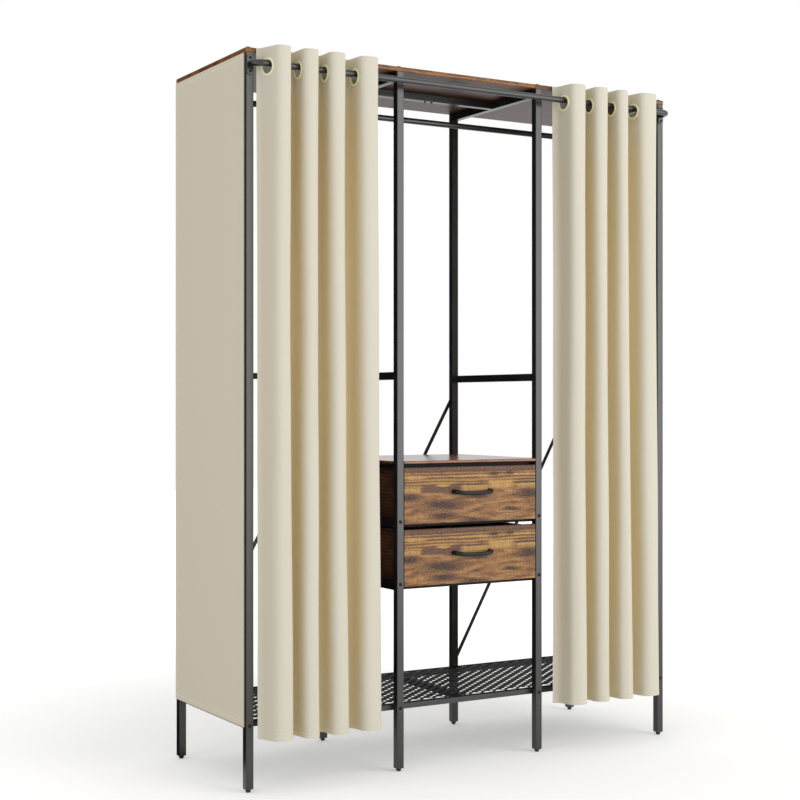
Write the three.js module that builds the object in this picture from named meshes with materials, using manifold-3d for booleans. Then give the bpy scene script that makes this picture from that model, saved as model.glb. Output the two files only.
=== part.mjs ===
// A portable wardrobe: eight square steel posts in three bays, a wood top in two halves, a mesh
// floor shelf, two wooden drawers in the middle bay, clothes rails, and a pair of eyelet curtains
// that are drawn along a bent rod in front.
//
// Millimetres, Z up, X to the right seen from the front, Y to the back. The pieces are placed from
// the middle of the post frame at floor level, and the whole is then shifted along Y so that the
// origin lies under the middle of everything, curtains included.

import * as THREE from 'three';
import { mergeVertices } from 'three/addons/utils/BufferGeometryUtils.js';
import Module from 'manifold-3d';

const wasm = await Module();
wasm.setup();

// Overall size of the post frame
const frameWidth = 1300;
const frameDepth = 436;
const overallHeight = 1800;
const middleBayPitch = 434;

// Posts, rungs and the gap that two seated pieces keep
const tubeSide = 20;
const tubeWall = 1.2;
const tubeCornerRadius = 1.6;
const seatGap = 0.3;

// Feet
const footHeight = 8;
const footTopRadius = 8;
const footSoleRadius = 5.5;
const footSoleHeight = 2;
const footPlugHeight = 18;

// Wood top
const topBoardThickness = 12;

// Clothes rails: how far the upper one lies below the top, and the lower one's height
const clothesRailDrop = 89;
const lowerRailZ = 1011;
const clothesRailDiameter = 16;
const clothesRailWall = 1.2;

// Floor shelf
const shelfBottomZ = 155;
const shelfBarSide = 15;
const edgeChamfer = 1;
const meshThickness = 1.5;
const meshRim = 5;
const meshStrand = 3;
const meshPitchX = 70;
const meshPitchY = 49;

// Drawer tiers: the frames that the drawers stand on, and the frame that carries their cover
const lowerTierTopZ = 482;
const coverTierHeight = 12;
const ledgeWidth = 18;
const ledgeThickness = 3;
const weldOverlap = 1;
const coverBoardThickness = 7;

// Drawers: the gap between the two fronts, and the room over each box under the tier above it
const drawerFrontGap = 14.5;
const drawerHeadroom = 10.2;
const drawerCoverHeadroom = 2.2;
const drawerFrontThickness = 15;
const drawerFrontDrop = 11.5;
const drawerFrontSideGap = 1.5;
const drawerBoxSideGap = 3;
const drawerBoxHeight = 129;
const drawerBackClearance = 18.7;
const drawerBoardThickness = 12;
const drawerBottomThickness = 4;
const drawerBottomInset = 6;
const drawerGrooveDepth = 4;

// Drawer handles
const handleSpan = 112;
const handleReach = 22;
const handleBendRadius = 18;
const handleBarRadius = 4.5;
const handleAboveFrontBottom = 79;

// Curtain rod
const rodRadius = 8;
const rodDrop = 42;
const rodStandoff = 34;
const rodBendRadius = 20;
const flangeWidth = 18;
const flangeHeight = 50;
const flangeThickness = 2.5;

// Curtains and their eyelets
const clothThickness = 1.2;
const curtainTopDrop = 2;
const curtainHemZ = 130;
const curtainWaves = 4;
const crestHalfWidth = 27;
const crestRise = 9;
const valleyHalfWidth = 13;
const valleyRise = 6;
const flankMargin = 0.5;
const leftCurtainInset = 27;
const rightCurtainInset = 68;
const hemFlareShare = 0.03;
const eyeletBoreRadius = 17;
const eyeletNeckWall = 1.5;
const eyeletFlangeRadius = 22;
const eyeletFlangeThickness = 1.4;

// Side panels
const sidePanelBottomZ = 158;
const sidePanelFrontReveal = 11;

// Rear straps: the heights of their two ends on the post centre lines
const strapWidth = 10;
const strapThickness = 2;
const sideStrapLowZ = 164;
const sideStrapHighZ = 921;
const middleStrapLowZ = 188;
const middleStrapHighZ = 955;

// How finely round forms are cut
const cornerSegments = 2;
const barSides = 10;
const rodSides = 16;
const bendSteps = 5;
const roundSegments = 20;
const crestSteps = 8;
const valleySteps = 4;
const curtainHeightSteps = 3;

// Places that follow from the sizes above
const halfPost = tubeSide / 2;
const endPostX = frameWidth / 2 - halfPost;
const midPostX = middleBayPitch / 2;
const postRowY = frameDepth / 2 - halfPost;
const postBottomZ = footHeight;
const postTopZ = overallHeight - topBoardThickness - seatGap;
const postInnerY = frameDepth / 2 - tubeSide;
const seatedHalfDepth = postInnerY - seatGap;
const topRailZ = postTopZ - halfPost;
const clothesRailZ = overallHeight - clothesRailDrop;
const rodZ = overallHeight - rodDrop;
const curtainTopZ = overallHeight - curtainTopDrop;
const shelfTopZ = shelfBottomZ + shelfBarSide;
const drawerPitch = seatGap + drawerBoxHeight + drawerHeadroom + tubeSide;
const drawerFrontHeight = drawerPitch - drawerFrontGap;
const upperTierTopZ = lowerTierTopZ + drawerPitch;
const coverTierTopZ = upperTierTopZ + seatGap + drawerBoxHeight + drawerCoverHeadroom + coverTierHeight;
const rodAxisY = -frameDepth / 2 - rodStandoff;
const flankHalfLength = eyeletFlangeRadius + flankMargin;
const foldPeriod = 2 * (crestHalfWidth + valleyHalfWidth);
const curtainWidth = curtainWaves * foldPeriod;
const eyeletNeckRadius = eyeletBoreRadius + eyeletNeckWall;
const eyeletZ = rodZ - (eyeletBoreRadius - rodRadius - seatGap);
const curtainFrontReach = frameDepth / 2 + rodStandoff + flankHalfLength + crestRise + clothThickness / 2;
const strapBackReach = frameDepth / 2 + seatGap + strapThickness;
const bays = [-1, 0, 1];
const sides = [
  { name: 'left', sign: -1 },
  { name: 'right', sign: 1 },
];

// Finishes
const steel = { color: 0x2b2c2e, roughness: 0.55, metalness: 0.4 };
const wood = { color: 0xa8743f, roughness: 0.6, metalness: 0 };
const bareBoard = { color: 0x9a8468, roughness: 0.85, metalness: 0 };
const cloth = { color: 0xcfc7b2, roughness: 0.95, metalness: 0 };
const eyeletPlastic = { color: 0xe9e6c6, roughness: 0.4, metalness: 0 };
const blackPlastic = { color: 0x151515, roughness: 0.5, metalness: 0 };
const handleMetal = { color: 0x17181a, roughness: 0.35, metalness: 0.7 };

const wardrobe = new THREE.Group();

// Adds a piece under its name, at a place given from the middle of the post frame.
function addPiece(name, geometry, finish, x = 0, y = 0, z = 0) {
  const mesh = new THREE.Mesh(geometry, new THREE.MeshStandardMaterial(finish));
  mesh.name = name;
  mesh.position.set(x, y, z);
  wardrobe.add(mesh);
  return mesh;
}

// Solids and meshes

function toSolid(geometry) {
  const bare = geometry.clone();
  bare.deleteAttribute('normal');
  bare.deleteAttribute('uv');
  const welded = mergeVertices(bare);
  return new wasm.Manifold(new wasm.Mesh({
    numProp: 3,
    vertProperties: new Float32Array(welded.attributes.position.array),
    triVerts: new Uint32Array(welded.index.array),
  }));
}

function toGeometry(solid) {
  const mesh = solid.getMesh();
  const geometry = new THREE.BufferGeometry();
  geometry.setAttribute('position', new THREE.BufferAttribute(mesh.vertProperties, 3));
  geometry.setIndex(new THREE.BufferAttribute(mesh.triVerts, 1));
  geometry.computeVertexNormals();
  return geometry;
}

// Outlines

function rectangle(width, depth, Kind = THREE.Shape) {
  const outline = new Kind();
  outline.moveTo(-width / 2, -depth / 2);
  outline.lineTo(width / 2, -depth / 2);
  outline.lineTo(width / 2, depth / 2);
  outline.lineTo(-width / 2, depth / 2);
  outline.closePath();
  return outline;
}

function roundedRectangle(width, depth, radius) {
  const outline = new THREE.Shape();
  const x = width / 2 - radius;
  const y = depth / 2 - radius;
  outline.absarc(x, -y, radius, -Math.PI / 2, 0);
  outline.absarc(x, y, radius, 0, Math.PI / 2);
  outline.absarc(-x, y, radius, Math.PI / 2, Math.PI);
  outline.absarc(-x, -y, radius, Math.PI, 1.5 * Math.PI);
  outline.closePath();
  return outline;
}

// A slot-shaped plate outline: two half rounds joined by straight sides, long axis along Y.
function roundEndedOutline(width, length) {
  const outline = new THREE.Shape();
  const radius = width / 2;
  const reach = length / 2 - radius;
  outline.absarc(0, reach, radius, 0, Math.PI);
  outline.absarc(0, -reach, radius, Math.PI, 2 * Math.PI);
  outline.closePath();
  return outline;
}

// A plate or frame of the given height with chamfered edges, its underside at zero.
function chamferedPlate(outline, height, chamfer, curveSegments = cornerSegments) {
  const plate = new THREE.ExtrudeGeometry(outline, {
    depth: height - 2 * chamfer,
    bevelEnabled: true,
    bevelThickness: chamfer,
    bevelSize: chamfer,
    bevelOffset: -chamfer,
    bevelSegments: 1,
    curveSegments,
  });
  plate.translate(0, 0, chamfer);
  return plate;
}

// Tubes and bent bars

function squareTube(length) {
  const section = roundedRectangle(tubeSide, tubeSide, tubeCornerRadius);
  const bore = tubeSide - 2 * tubeWall;
  section.holes.push(rectangle(bore, bore, THREE.Path));
  const tube = new THREE.ExtrudeGeometry(section, {
    depth: length,
    bevelEnabled: false,
    curveSegments: cornerSegments,
  });
  tube.translate(0, 0, -length / 2);
  return tube;
}

const tubeAlongY = (length) => squareTube(length).rotateX(Math.PI / 2);
const tubeAlongX = (length) => squareTube(length).rotateY(Math.PI / 2);

function roundTubeAlongX(length, radius, wall) {
  const bore = radius - wall;
  const half = length / 2;
  const profile = [
    new THREE.Vector2(bore, -half),
    new THREE.Vector2(radius, -half),
    new THREE.Vector2(radius, half),
    new THREE.Vector2(bore, half),
    new THREE.Vector2(bore, -half),
  ];
  return new THREE.LatheGeometry(profile, roundSegments).rotateZ(-Math.PI / 2);
}

// The centre line of a bar bent to a wide U: out from one foot, a bend, straight across, a bend,
// and back to the other foot. Each straight is one step and each bend has bendSteps, however long
// they are, so the stations are given here and not spaced by length.
class BentBarPath extends THREE.Curve {
  constructor(span, reach, bendRadius) {
    super();
    const corner = span / 2 - bendRadius;
    this.stations = [new THREE.Vector3(-span / 2, 0, 0)];
    this.headings = [new THREE.Vector3(0, -1, 0)];
    for (const side of [-1, 1]) {
      for (let step = 0; step <= bendSteps; step += 1) {
        const turn = (Math.PI / 2) * (step / bendSteps);
        const angle = side < 0 ? Math.PI + turn : 1.5 * Math.PI + turn;
        this.stations.push(new THREE.Vector3(
          side * corner + bendRadius * Math.cos(angle),
          -(reach - bendRadius) + bendRadius * Math.sin(angle),
          0,
        ));
        this.headings.push(new THREE.Vector3(-Math.sin(angle), Math.cos(angle), 0));
      }
    }
    this.stations.push(new THREE.Vector3(span / 2, 0, 0));
    this.headings.push(new THREE.Vector3(0, 1, 0));
  }

  station(u) {
    return Math.round(u * (this.stations.length - 1));
  }

  getPointAt(u) {
    return this.stations[this.station(u)].clone();
  }

  getTangentAt(u) {
    return this.headings[this.station(u)].clone();
  }
}

function bentBar(span, reach, bendRadius, barRadius, barSegments) {
  const path = new BentBarPath(span, reach, bendRadius);
  const section = new THREE.Shape();
  section.absarc(0, 0, barRadius, 0, 2 * Math.PI);
  return new THREE.ExtrudeGeometry(section, {
    steps: path.stations.length - 1,
    extrudePath: path,
    bevelEnabled: false,
    curveSegments: barSegments,
  });
}

// Post frame: eight posts, the rungs that tie each front post to its rear post, and the feet

function buildFoot() {
  const top = footHeight - seatGap;
  const profile = [
    new THREE.Vector2(0, 0),
    new THREE.Vector2(footSoleRadius, 0),
    new THREE.Vector2(footSoleRadius, footSoleHeight),
    new THREE.Vector2(footTopRadius, top),
    new THREE.Vector2(0, top),
  ];
  const glide = new THREE.LatheGeometry(profile, roundSegments).rotateX(Math.PI / 2);
  const plugSide = tubeSide - 2 * tubeWall - 2 * seatGap;
  const plug = new THREE.BoxGeometry(plugSide, plugSide, footPlugHeight);
  plug.translate(0, 0, top - weldOverlap + footPlugHeight / 2);
  return toGeometry(toSolid(glide).add(toSolid(plug)));
}

const frames = [
  { name: 'left_end', x: -endPostX, upperRungZ: clothesRailZ },
  { name: 'left_mid', x: -midPostX, upperRungZ: topRailZ },
  { name: 'right_mid', x: midPostX, upperRungZ: topRailZ },
  { name: 'right_end', x: endPostX, upperRungZ: clothesRailZ },
];
const rows = [
  { name: 'front', y: -postRowY },
  { name: 'rear', y: postRowY },
];
const postLength = postTopZ - postBottomZ;
for (const frame of frames) {
  for (const row of rows) {
    const postZ = postBottomZ + postLength / 2;
    addPiece(`post_${frame.name}_${row.name}`, squareTube(postLength), steel, frame.x, row.y, postZ);
    addPiece(`foot_${frame.name}_${row.name}`, buildFoot(), blackPlastic, frame.x, row.y);
  }
  const rungLength = 2 * seatedHalfDepth;
  addPiece(`upper_rung_${frame.name}`, tubeAlongY(rungLength), steel, frame.x, 0, frame.upperRungZ);
  addPiece(`middle_rung_${frame.name}`, tubeAlongY(rungLength), steel, frame.x, 0, lowerRailZ);
}

// The beam across the middle bay carries the joint between the two halves of the top.
const clearBetweenMidPosts = middleBayPitch - tubeSide;
addPiece('centre_beam', tubeAlongX(clearBetweenMidPosts - 2 * seatGap), steel, 0, 0, topRailZ);

// Wood top in two halves

const topHalfWidth = frameWidth / 2 - seatGap / 2;
for (const side of sides) {
  const board = chamferedPlate(rectangle(topHalfWidth, frameDepth), topBoardThickness, edgeChamfer);
  const x = side.sign * (seatGap / 2 + topHalfWidth / 2);
  addPiece(`top_board_${side.name}`, board, wood, x, 0, overallHeight - topBoardThickness);
}

// Clothes rails: one across the whole wardrobe, and a lower one in the left bay

const clothesRailRadius = clothesRailDiameter / 2;
const mainRailLength = frameWidth - 2 * tubeSide - 2 * seatGap;
const mainRail = roundTubeAlongX(mainRailLength, clothesRailRadius, clothesRailWall);
addPiece('clothes_rail_upper', mainRail, steel, 0, 0, clothesRailZ);

const leftBayClear = endPostX - midPostX - tubeSide;
const lowerRail = roundTubeAlongX(leftBayClear - 2 * seatGap, clothesRailRadius, clothesRailWall);
addPiece('clothes_rail_lower_left', lowerRail, steel, -(endPostX + midPostX) / 2, 0, lowerRailZ);

// Floor shelf: a welded frame with a centre bar, and a sheet of diamond mesh on it

function buildShelfFrame() {
  const plate = chamferedPlate(rectangle(frameWidth, 2 * seatedHalfDepth), shelfBarSide, edgeChamfer);
  const holeDepth = 2 * (seatedHalfDepth - shelfBarSide);
  const holeWidth = (frameWidth - 3 * shelfBarSide) / 2;
  let solid = toSolid(plate);
  for (const side of sides) {
    const hole = new THREE.BoxGeometry(holeWidth, holeDepth, 2 * shelfBarSide);
    hole.translate(side.sign * ((shelfBarSide + holeWidth) / 2), 0, shelfBarSide / 2);
    solid = solid.subtract(toSolid(hole));
  }
  return toGeometry(solid);
}

// Staggered diamond gaps, as in expanded metal, inside a plain rim.
function buildShelfMesh() {
  const width = frameWidth;
  const depth = 2 * seatedHalfDepth;
  const sheet = rectangle(width, depth);
  const slope = Math.hypot(meshPitchX, meshPitchY);
  const halfGapX = (meshPitchX - (meshStrand * slope) / meshPitchY) / 2;
  const halfGapY = (meshPitchY - (meshStrand * slope) / meshPitchX) / 2;
  const columns = Math.floor((width / 2 - meshRim) / (meshPitchX / 2));
  const rowCount = Math.floor((depth / 2 - meshRim) / (meshPitchY / 2));
  for (let column = -columns; column <= columns; column += 1) {
    for (let row = -rowCount; row <= rowCount; row += 1) {
      const x = (column * meshPitchX) / 2;
      const y = (row * meshPitchY) / 2;
      const fitsX = Math.abs(x) + halfGapX <= width / 2 - meshRim;
      const fitsY = Math.abs(y) + halfGapY <= depth / 2 - meshRim;
      if ((column + row) % 2 !== 0 || !fitsX || !fitsY) continue;
      const gap = new THREE.Path();
      gap.moveTo(x - halfGapX, y);
      gap.lineTo(x, y - halfGapY);
      gap.lineTo(x + halfGapX, y);
      gap.lineTo(x, y + halfGapY);
      gap.closePath();
      sheet.holes.push(gap);
    }
  }
  return new THREE.ExtrudeGeometry(sheet, { depth: meshThickness, bevelEnabled: false });
}

addPiece('shelf_frame', buildShelfFrame(), steel, 0, 0, shelfBottomZ);
addPiece('shelf_mesh', buildShelfMesh(), steel, 0, 0, shelfTopZ + seatGap);

// Drawer tiers: welded frames that sit between the front and rear mid posts

const tierOuterWidth = middleBayPitch + tubeSide;
const tierInnerHalfWidth = clearBetweenMidPosts / 2;

function buildTierFrame(height) {
  const outline = rectangle(tierOuterWidth, 2 * seatedHalfDepth);
  const holeDepth = 2 * (seatedHalfDepth - tubeSide);
  outline.holes.push(rectangle(clearBetweenMidPosts, holeDepth, THREE.Path));
  return chamferedPlate(outline, height, edgeChamfer);
}

// A tier that carries a drawer also has a ledge inside each side bar for the drawer to run on.
function buildRunnerTier() {
  const ledgeLength = 2 * (seatedHalfDepth - tubeSide + weldOverlap);
  let solid = toSolid(buildTierFrame(tubeSide));
  for (const side of sides) {
    const ledge = new THREE.BoxGeometry(ledgeWidth + weldOverlap, ledgeLength, ledgeThickness);
    const ledgeX = side.sign * (tierInnerHalfWidth + weldOverlap - (ledgeWidth + weldOverlap) / 2);
    ledge.translate(ledgeX, 0, tubeSide - edgeChamfer - ledgeThickness / 2);
    solid = solid.add(toSolid(ledge));
  }
  return toGeometry(solid);
}

addPiece('drawer_tier_lower', buildRunnerTier(), steel, 0, 0, lowerTierTopZ - tubeSide);
addPiece('drawer_tier_upper', buildRunnerTier(), steel, 0, 0, upperTierTopZ - tubeSide);
addPiece('cover_tier', buildTierFrame(coverTierHeight), steel, 0, 0, coverTierTopZ - coverTierHeight);

// The cover board reaches forward between the mid posts, flush with their front faces.
function buildCoverBoard() {
  const wide = tierOuterWidth / 2;
  const narrow = tierInnerHalfWidth - drawerFrontSideGap;
  const front = -frameDepth / 2;
  const shoulder = -seatedHalfDepth;
  const outline = new THREE.Shape();
  outline.moveTo(-narrow, front);
  outline.lineTo(narrow, front);
  outline.lineTo(narrow, shoulder);
  outline.lineTo(wide, shoulder);
  outline.lineTo(wide, seatedHalfDepth);
  outline.lineTo(-wide, seatedHalfDepth);
  outline.lineTo(-wide, shoulder);
  outline.lineTo(-narrow, shoulder);
  outline.closePath();
  return chamferedPlate(outline, coverBoardThickness, edgeChamfer);
}

addPiece('drawer_cover_board', buildCoverBoard(), wood, 0, 0, coverTierTopZ + seatGap);

// Drawers: a front, two sides and a back with a panel let into grooves, and a bow handle

const drawerFrontWidth = 2 * (tierInnerHalfWidth - drawerFrontSideGap);
const drawerBoxHalfWidth = tierInnerHalfWidth - drawerBoxSideGap;
const drawerBoxFrontY = -frameDepth / 2 + drawerFrontThickness + seatGap;
const drawerBoxLength = postInnerY - drawerBackClearance - drawerBoxFrontY;
const drawerBoxMiddleY = drawerBoxFrontY + drawerBoxLength / 2;
const sideInnerX = drawerBoxHalfWidth - drawerBoardThickness;
const grooveHeight = drawerBottomThickness + 2 * seatGap;

// A side board with its groove facing the middle of the drawer, as seen end on.
function buildDrawerSide(sign) {
  const inner = -sign * (drawerBoardThickness / 2);
  const outer = -inner;
  const grooveX = inner + sign * drawerGrooveDepth;
  const section = new THREE.Shape();
  section.moveTo(outer, 0);
  section.lineTo(outer, drawerBoxHeight);
  section.lineTo(inner, drawerBoxHeight);
  section.lineTo(inner, drawerBottomInset + grooveHeight);
  section.lineTo(grooveX, drawerBottomInset + grooveHeight);
  section.lineTo(grooveX, drawerBottomInset);
  section.lineTo(inner, drawerBottomInset);
  section.lineTo(inner, 0);
  section.closePath();
  const board = new THREE.ExtrudeGeometry(section, { depth: drawerBoxLength, bevelEnabled: false });
  board.rotateX(Math.PI / 2);
  board.translate(0, drawerBoxLength / 2, 0);
  return board;
}

function addDrawer(name, tierTopZ) {
  const frontBottomZ = tierTopZ - drawerFrontDrop;
  const boxBottomZ = tierTopZ + seatGap;
  const front = chamferedPlate(
    rectangle(drawerFrontWidth, drawerFrontHeight),
    drawerFrontThickness,
    edgeChamfer,
  );
  front.rotateX(Math.PI / 2);
  const frontY = -frameDepth / 2 + drawerFrontThickness;
  addPiece(`${name}_front`, front, wood, 0, frontY, frontBottomZ + drawerFrontHeight / 2);

  const sideX = drawerBoxHalfWidth - drawerBoardThickness / 2;
  for (const side of sides) {
    const board = buildDrawerSide(side.sign);
    addPiece(`${name}_side_${side.name}`, board, wood, side.sign * sideX, drawerBoxMiddleY, boxBottomZ);
  }

  const backWidth = 2 * (sideInnerX - seatGap);
  const backHeight = drawerBoxHeight - drawerBottomInset - grooveHeight;
  const back = new THREE.BoxGeometry(backWidth, drawerBoardThickness, backHeight);
  const backY = drawerBoxFrontY + drawerBoxLength - drawerBoardThickness / 2;
  const backZ = boxBottomZ + drawerBoxHeight - backHeight / 2;
  addPiece(`${name}_back`, back, wood, 0, backY, backZ);

  const panelWidth = 2 * (sideInnerX + drawerGrooveDepth - seatGap);
  const panelLength = drawerBoxLength - 2 * seatGap;
  const panel = new THREE.BoxGeometry(panelWidth, panelLength, drawerBottomThickness);
  const panelZ = boxBottomZ + drawerBottomInset + grooveHeight / 2;
  addPiece(`${name}_bottom`, panel, bareBoard, 0, drawerBoxMiddleY, panelZ);

  const handle = bentBar(handleSpan, handleReach, handleBendRadius, handleBarRadius, barSides);
  const handleY = -frameDepth / 2 - seatGap;
  addPiece(`${name}_handle`, handle, handleMetal, 0, handleY, frontBottomZ + handleAboveFrontBottom);
}

addDrawer('drawer_lower', lowerTierTopZ);
addDrawer('drawer_upper', upperTierTopZ);

// Curtain rod: one tube bent back at both ends, with a plate welded on each foot

function buildCurtainRod() {
  const footY = -frameDepth / 2 - seatGap;
  const rod = bentBar(2 * endPostX, rodStandoff - seatGap, rodBendRadius, rodRadius, rodSides);
  rod.translate(0, footY, 0);
  let solid = toSolid(rod);
  for (const side of sides) {
    const plate = new THREE.ExtrudeGeometry(roundEndedOutline(flangeWidth, flangeHeight), {
      depth: flangeThickness,
      bevelEnabled: false,
      curveSegments: barSides,
    });
    plate.rotateX(Math.PI / 2);
    plate.translate(side.sign * endPostX, footY, 0);
    solid = solid.add(toSolid(plate));
  }
  return toGeometry(solid);
}

addPiece('curtain_rod', buildCurtainRod(), steel, 0, 0, rodZ);

// Curtains: each is a folded sheet with an eyelet in every flank, threaded on the rod. Crests are
// wide and face the room, valleys are narrow, and the flanks between them are flat across the
// eyelets. x is measured from the sheet's left edge, y from the rod's axis.

function foldLine() {
  const points = [];
  const arc = (centreX, centreY, halfWidth, rise, from, to, steps) => {
    for (let step = 0; step <= steps; step += 1) {
      const angle = from + (to - from) * (step / steps);
      points.push(new THREE.Vector2(
        centreX + halfWidth * Math.cos(angle),
        centreY + rise * Math.sin(angle),
      ));
    }
  };
  const back = flankHalfLength;
  const front = -flankHalfLength;
  arc(0, back, valleyHalfWidth, valleyRise, Math.PI / 2, 0, valleySteps / 2);
  for (let wave = 0; wave < curtainWaves; wave += 1) {
    const crestX = foldPeriod * (wave + 1 / 2);
    const valleyX = foldPeriod * (wave + 1);
    const last = wave === curtainWaves - 1;
    arc(crestX, front, crestHalfWidth, crestRise, Math.PI, 2 * Math.PI, crestSteps);
    arc(valleyX, back, valleyHalfWidth, valleyRise, Math.PI, last ? Math.PI / 2 : 0,
      last ? valleySteps / 2 : valleySteps);
  }
  return points;
}

// The flanks' places along the sheet, from its left edge to its right.
function flankPlaces() {
  const places = [];
  for (let wave = 0; wave < curtainWaves; wave += 1) {
    places.push(foldPeriod * wave + valleyHalfWidth);
    places.push(foldPeriod * wave + valleyHalfWidth + 2 * crestHalfWidth);
  }
  return places;
}

// The sheet seen from above: the fold line given the cloth's thickness on both its sides.
function sheetOutline() {
  const line = foldLine();
  const nearSide = [];
  const farSide = [];
  line.forEach((point, index) => {
    const before = line[Math.max(index - 1, 0)];
    const after = line[Math.min(index + 1, line.length - 1)];
    const along = after.clone().sub(before).normalize();
    const across = new THREE.Vector2(-along.y, along.x).multiplyScalar(clothThickness / 2);
    nearSide.push(point.clone().sub(across));
    farSide.unshift(point.clone().add(across));
  });
  return new THREE.Shape([...nearSide, ...farSide]);
}

// Below the eyelets the folds spread a little towards the hem.
function flareToHem(sheet) {
  const height = curtainTopZ - curtainHemZ;
  const positions = sheet.attributes.position;
  for (let index = 0; index < positions.count; index += 1) {
    const dropShare = 1 - positions.getZ(index) / height;
    const spread = 1 + hemFlareShare * dropShare;
    const fromMiddle = positions.getX(index) - curtainWidth / 2;
    positions.setX(index, curtainWidth / 2 + fromMiddle * spread);
  }
  return sheet;
}

// An eyelet turned about the X axis. With a groove it is a piece of its own that grips the cloth.
function buildEyelet(grooved) {
  const half = clothThickness / 2 + seatGap + eyeletFlangeThickness;
  const grooveHalf = half - eyeletFlangeThickness;
  const corners = [[eyeletBoreRadius, -half], [eyeletFlangeRadius, -half]];
  if (grooved) {
    corners.push([eyeletFlangeRadius, -grooveHalf], [eyeletNeckRadius, -grooveHalf]);
    corners.push([eyeletNeckRadius, grooveHalf], [eyeletFlangeRadius, grooveHalf]);
  }
  corners.push([eyeletFlangeRadius, half], [eyeletBoreRadius, half], [eyeletBoreRadius, -half]);
  const profile = corners.map(([radius, along]) => new THREE.Vector2(radius, along));
  return new THREE.LatheGeometry(profile, roundSegments).rotateZ(-Math.PI / 2);
}

// The two eyelets in the leading fold are pieces of their own. The others are clamped in the sheet.
function addCurtain(name, leftEdgeX, leadingFlanks) {
  const height = curtainTopZ - curtainHemZ;
  const sheet = new THREE.ExtrudeGeometry(sheetOutline(), {
    depth: height,
    steps: curtainHeightSteps,
    bevelEnabled: false,
  });
  const eyeletHeight = eyeletZ - curtainHemZ;
  const holeRadius = eyeletNeckRadius + seatGap;
  const drill = new THREE.CylinderGeometry(holeRadius, holeRadius, curtainWidth, roundSegments);
  drill.rotateZ(-Math.PI / 2);
  drill.translate(curtainWidth / 2, 0, eyeletHeight);
  let solid = toSolid(flareToHem(sheet)).subtract(toSolid(drill));
  flankPlaces().forEach((place, index) => {
    if (leadingFlanks.includes(index)) {
      const x = leftEdgeX + place;
      addPiece(`${name}_eyelet_${index + 1}`, buildEyelet(true), eyeletPlastic, x, rodAxisY, eyeletZ);
    } else {
      const eyelet = buildEyelet(false).translate(place, 0, eyeletHeight);
      solid = solid.add(toSolid(eyelet));
    }
  });
  addPiece(name, toGeometry(solid), cloth, leftEdgeX, rodAxisY, curtainHemZ);
}

const flankCount = 2 * curtainWaves;
addCurtain('curtain_left', leftCurtainInset - frameWidth / 2, [flankCount - 2, flankCount - 1]);
addCurtain('curtain_right', frameWidth / 2 - rightCurtainInset - curtainWidth, [0, 1]);

// Side panels: cloth stretched over the outside of the end frames

const panelDepth = frameDepth - sidePanelFrontReveal;
const panelHeight = postTopZ - sidePanelBottomZ;
for (const side of sides) {
  const panel = new THREE.BoxGeometry(clothThickness, panelDepth, panelHeight);
  const x = side.sign * (frameWidth / 2 + seatGap + clothThickness / 2);
  addPiece(`side_panel_${side.name}`, panel, cloth, x, sidePanelFrontReveal / 2,
    sidePanelBottomZ + panelHeight / 2);
}

// Rear straps: a flat bar rises from left to right behind each bay

const postXs = frames.map((frame) => frame.x);
const bayNames = ['left', 'middle', 'right'];
for (const bay of bays) {
  const lowZ = bay === 0 ? middleStrapLowZ : sideStrapLowZ;
  const highZ = bay === 0 ? middleStrapHighZ : sideStrapHighZ;
  const lowX = postXs[bay + 1];
  const highX = postXs[bay + 2];
  const length = Math.hypot(highX - lowX, highZ - lowZ) + strapWidth;
  const strap = new THREE.ExtrudeGeometry(roundEndedOutline(strapWidth, length), {
    depth: strapThickness,
    bevelEnabled: false,
    curveSegments: barSides,
  });
  strap.rotateX(Math.PI / 2);
  strap.translate(0, strapThickness, 0);
  const mesh = addPiece(`rear_strap_${bayNames[bay + 1]}`, strap, steel, (lowX + highX) / 2,
    frameDepth / 2 + seatGap, (lowZ + highZ) / 2);
  mesh.rotation.y = Math.atan2(highX - lowX, highZ - lowZ);
}

wardrobe.position.y = (curtainFrontReach - strapBackReach) / 2;

export default wardrobe;
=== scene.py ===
# %% [markdown]
# A portable wardrobe: black steel posts in three bays, a printed wood top, two drawers, a mesh
# floor shelf, cloth sides and a pair of eyelet curtains on a bent rod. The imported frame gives
# every hard piece its size and place. This lesson adds what the eye sees: finishes, folds, rings
# and fasteners.

# %% Load the frame and measure it
from functools import partial
from math import atan, copysign, cos, hypot, pi, radians, sin

import bmesh
import bpy
import numpy as np
from mathutils import Matrix, Vector, noise


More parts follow.
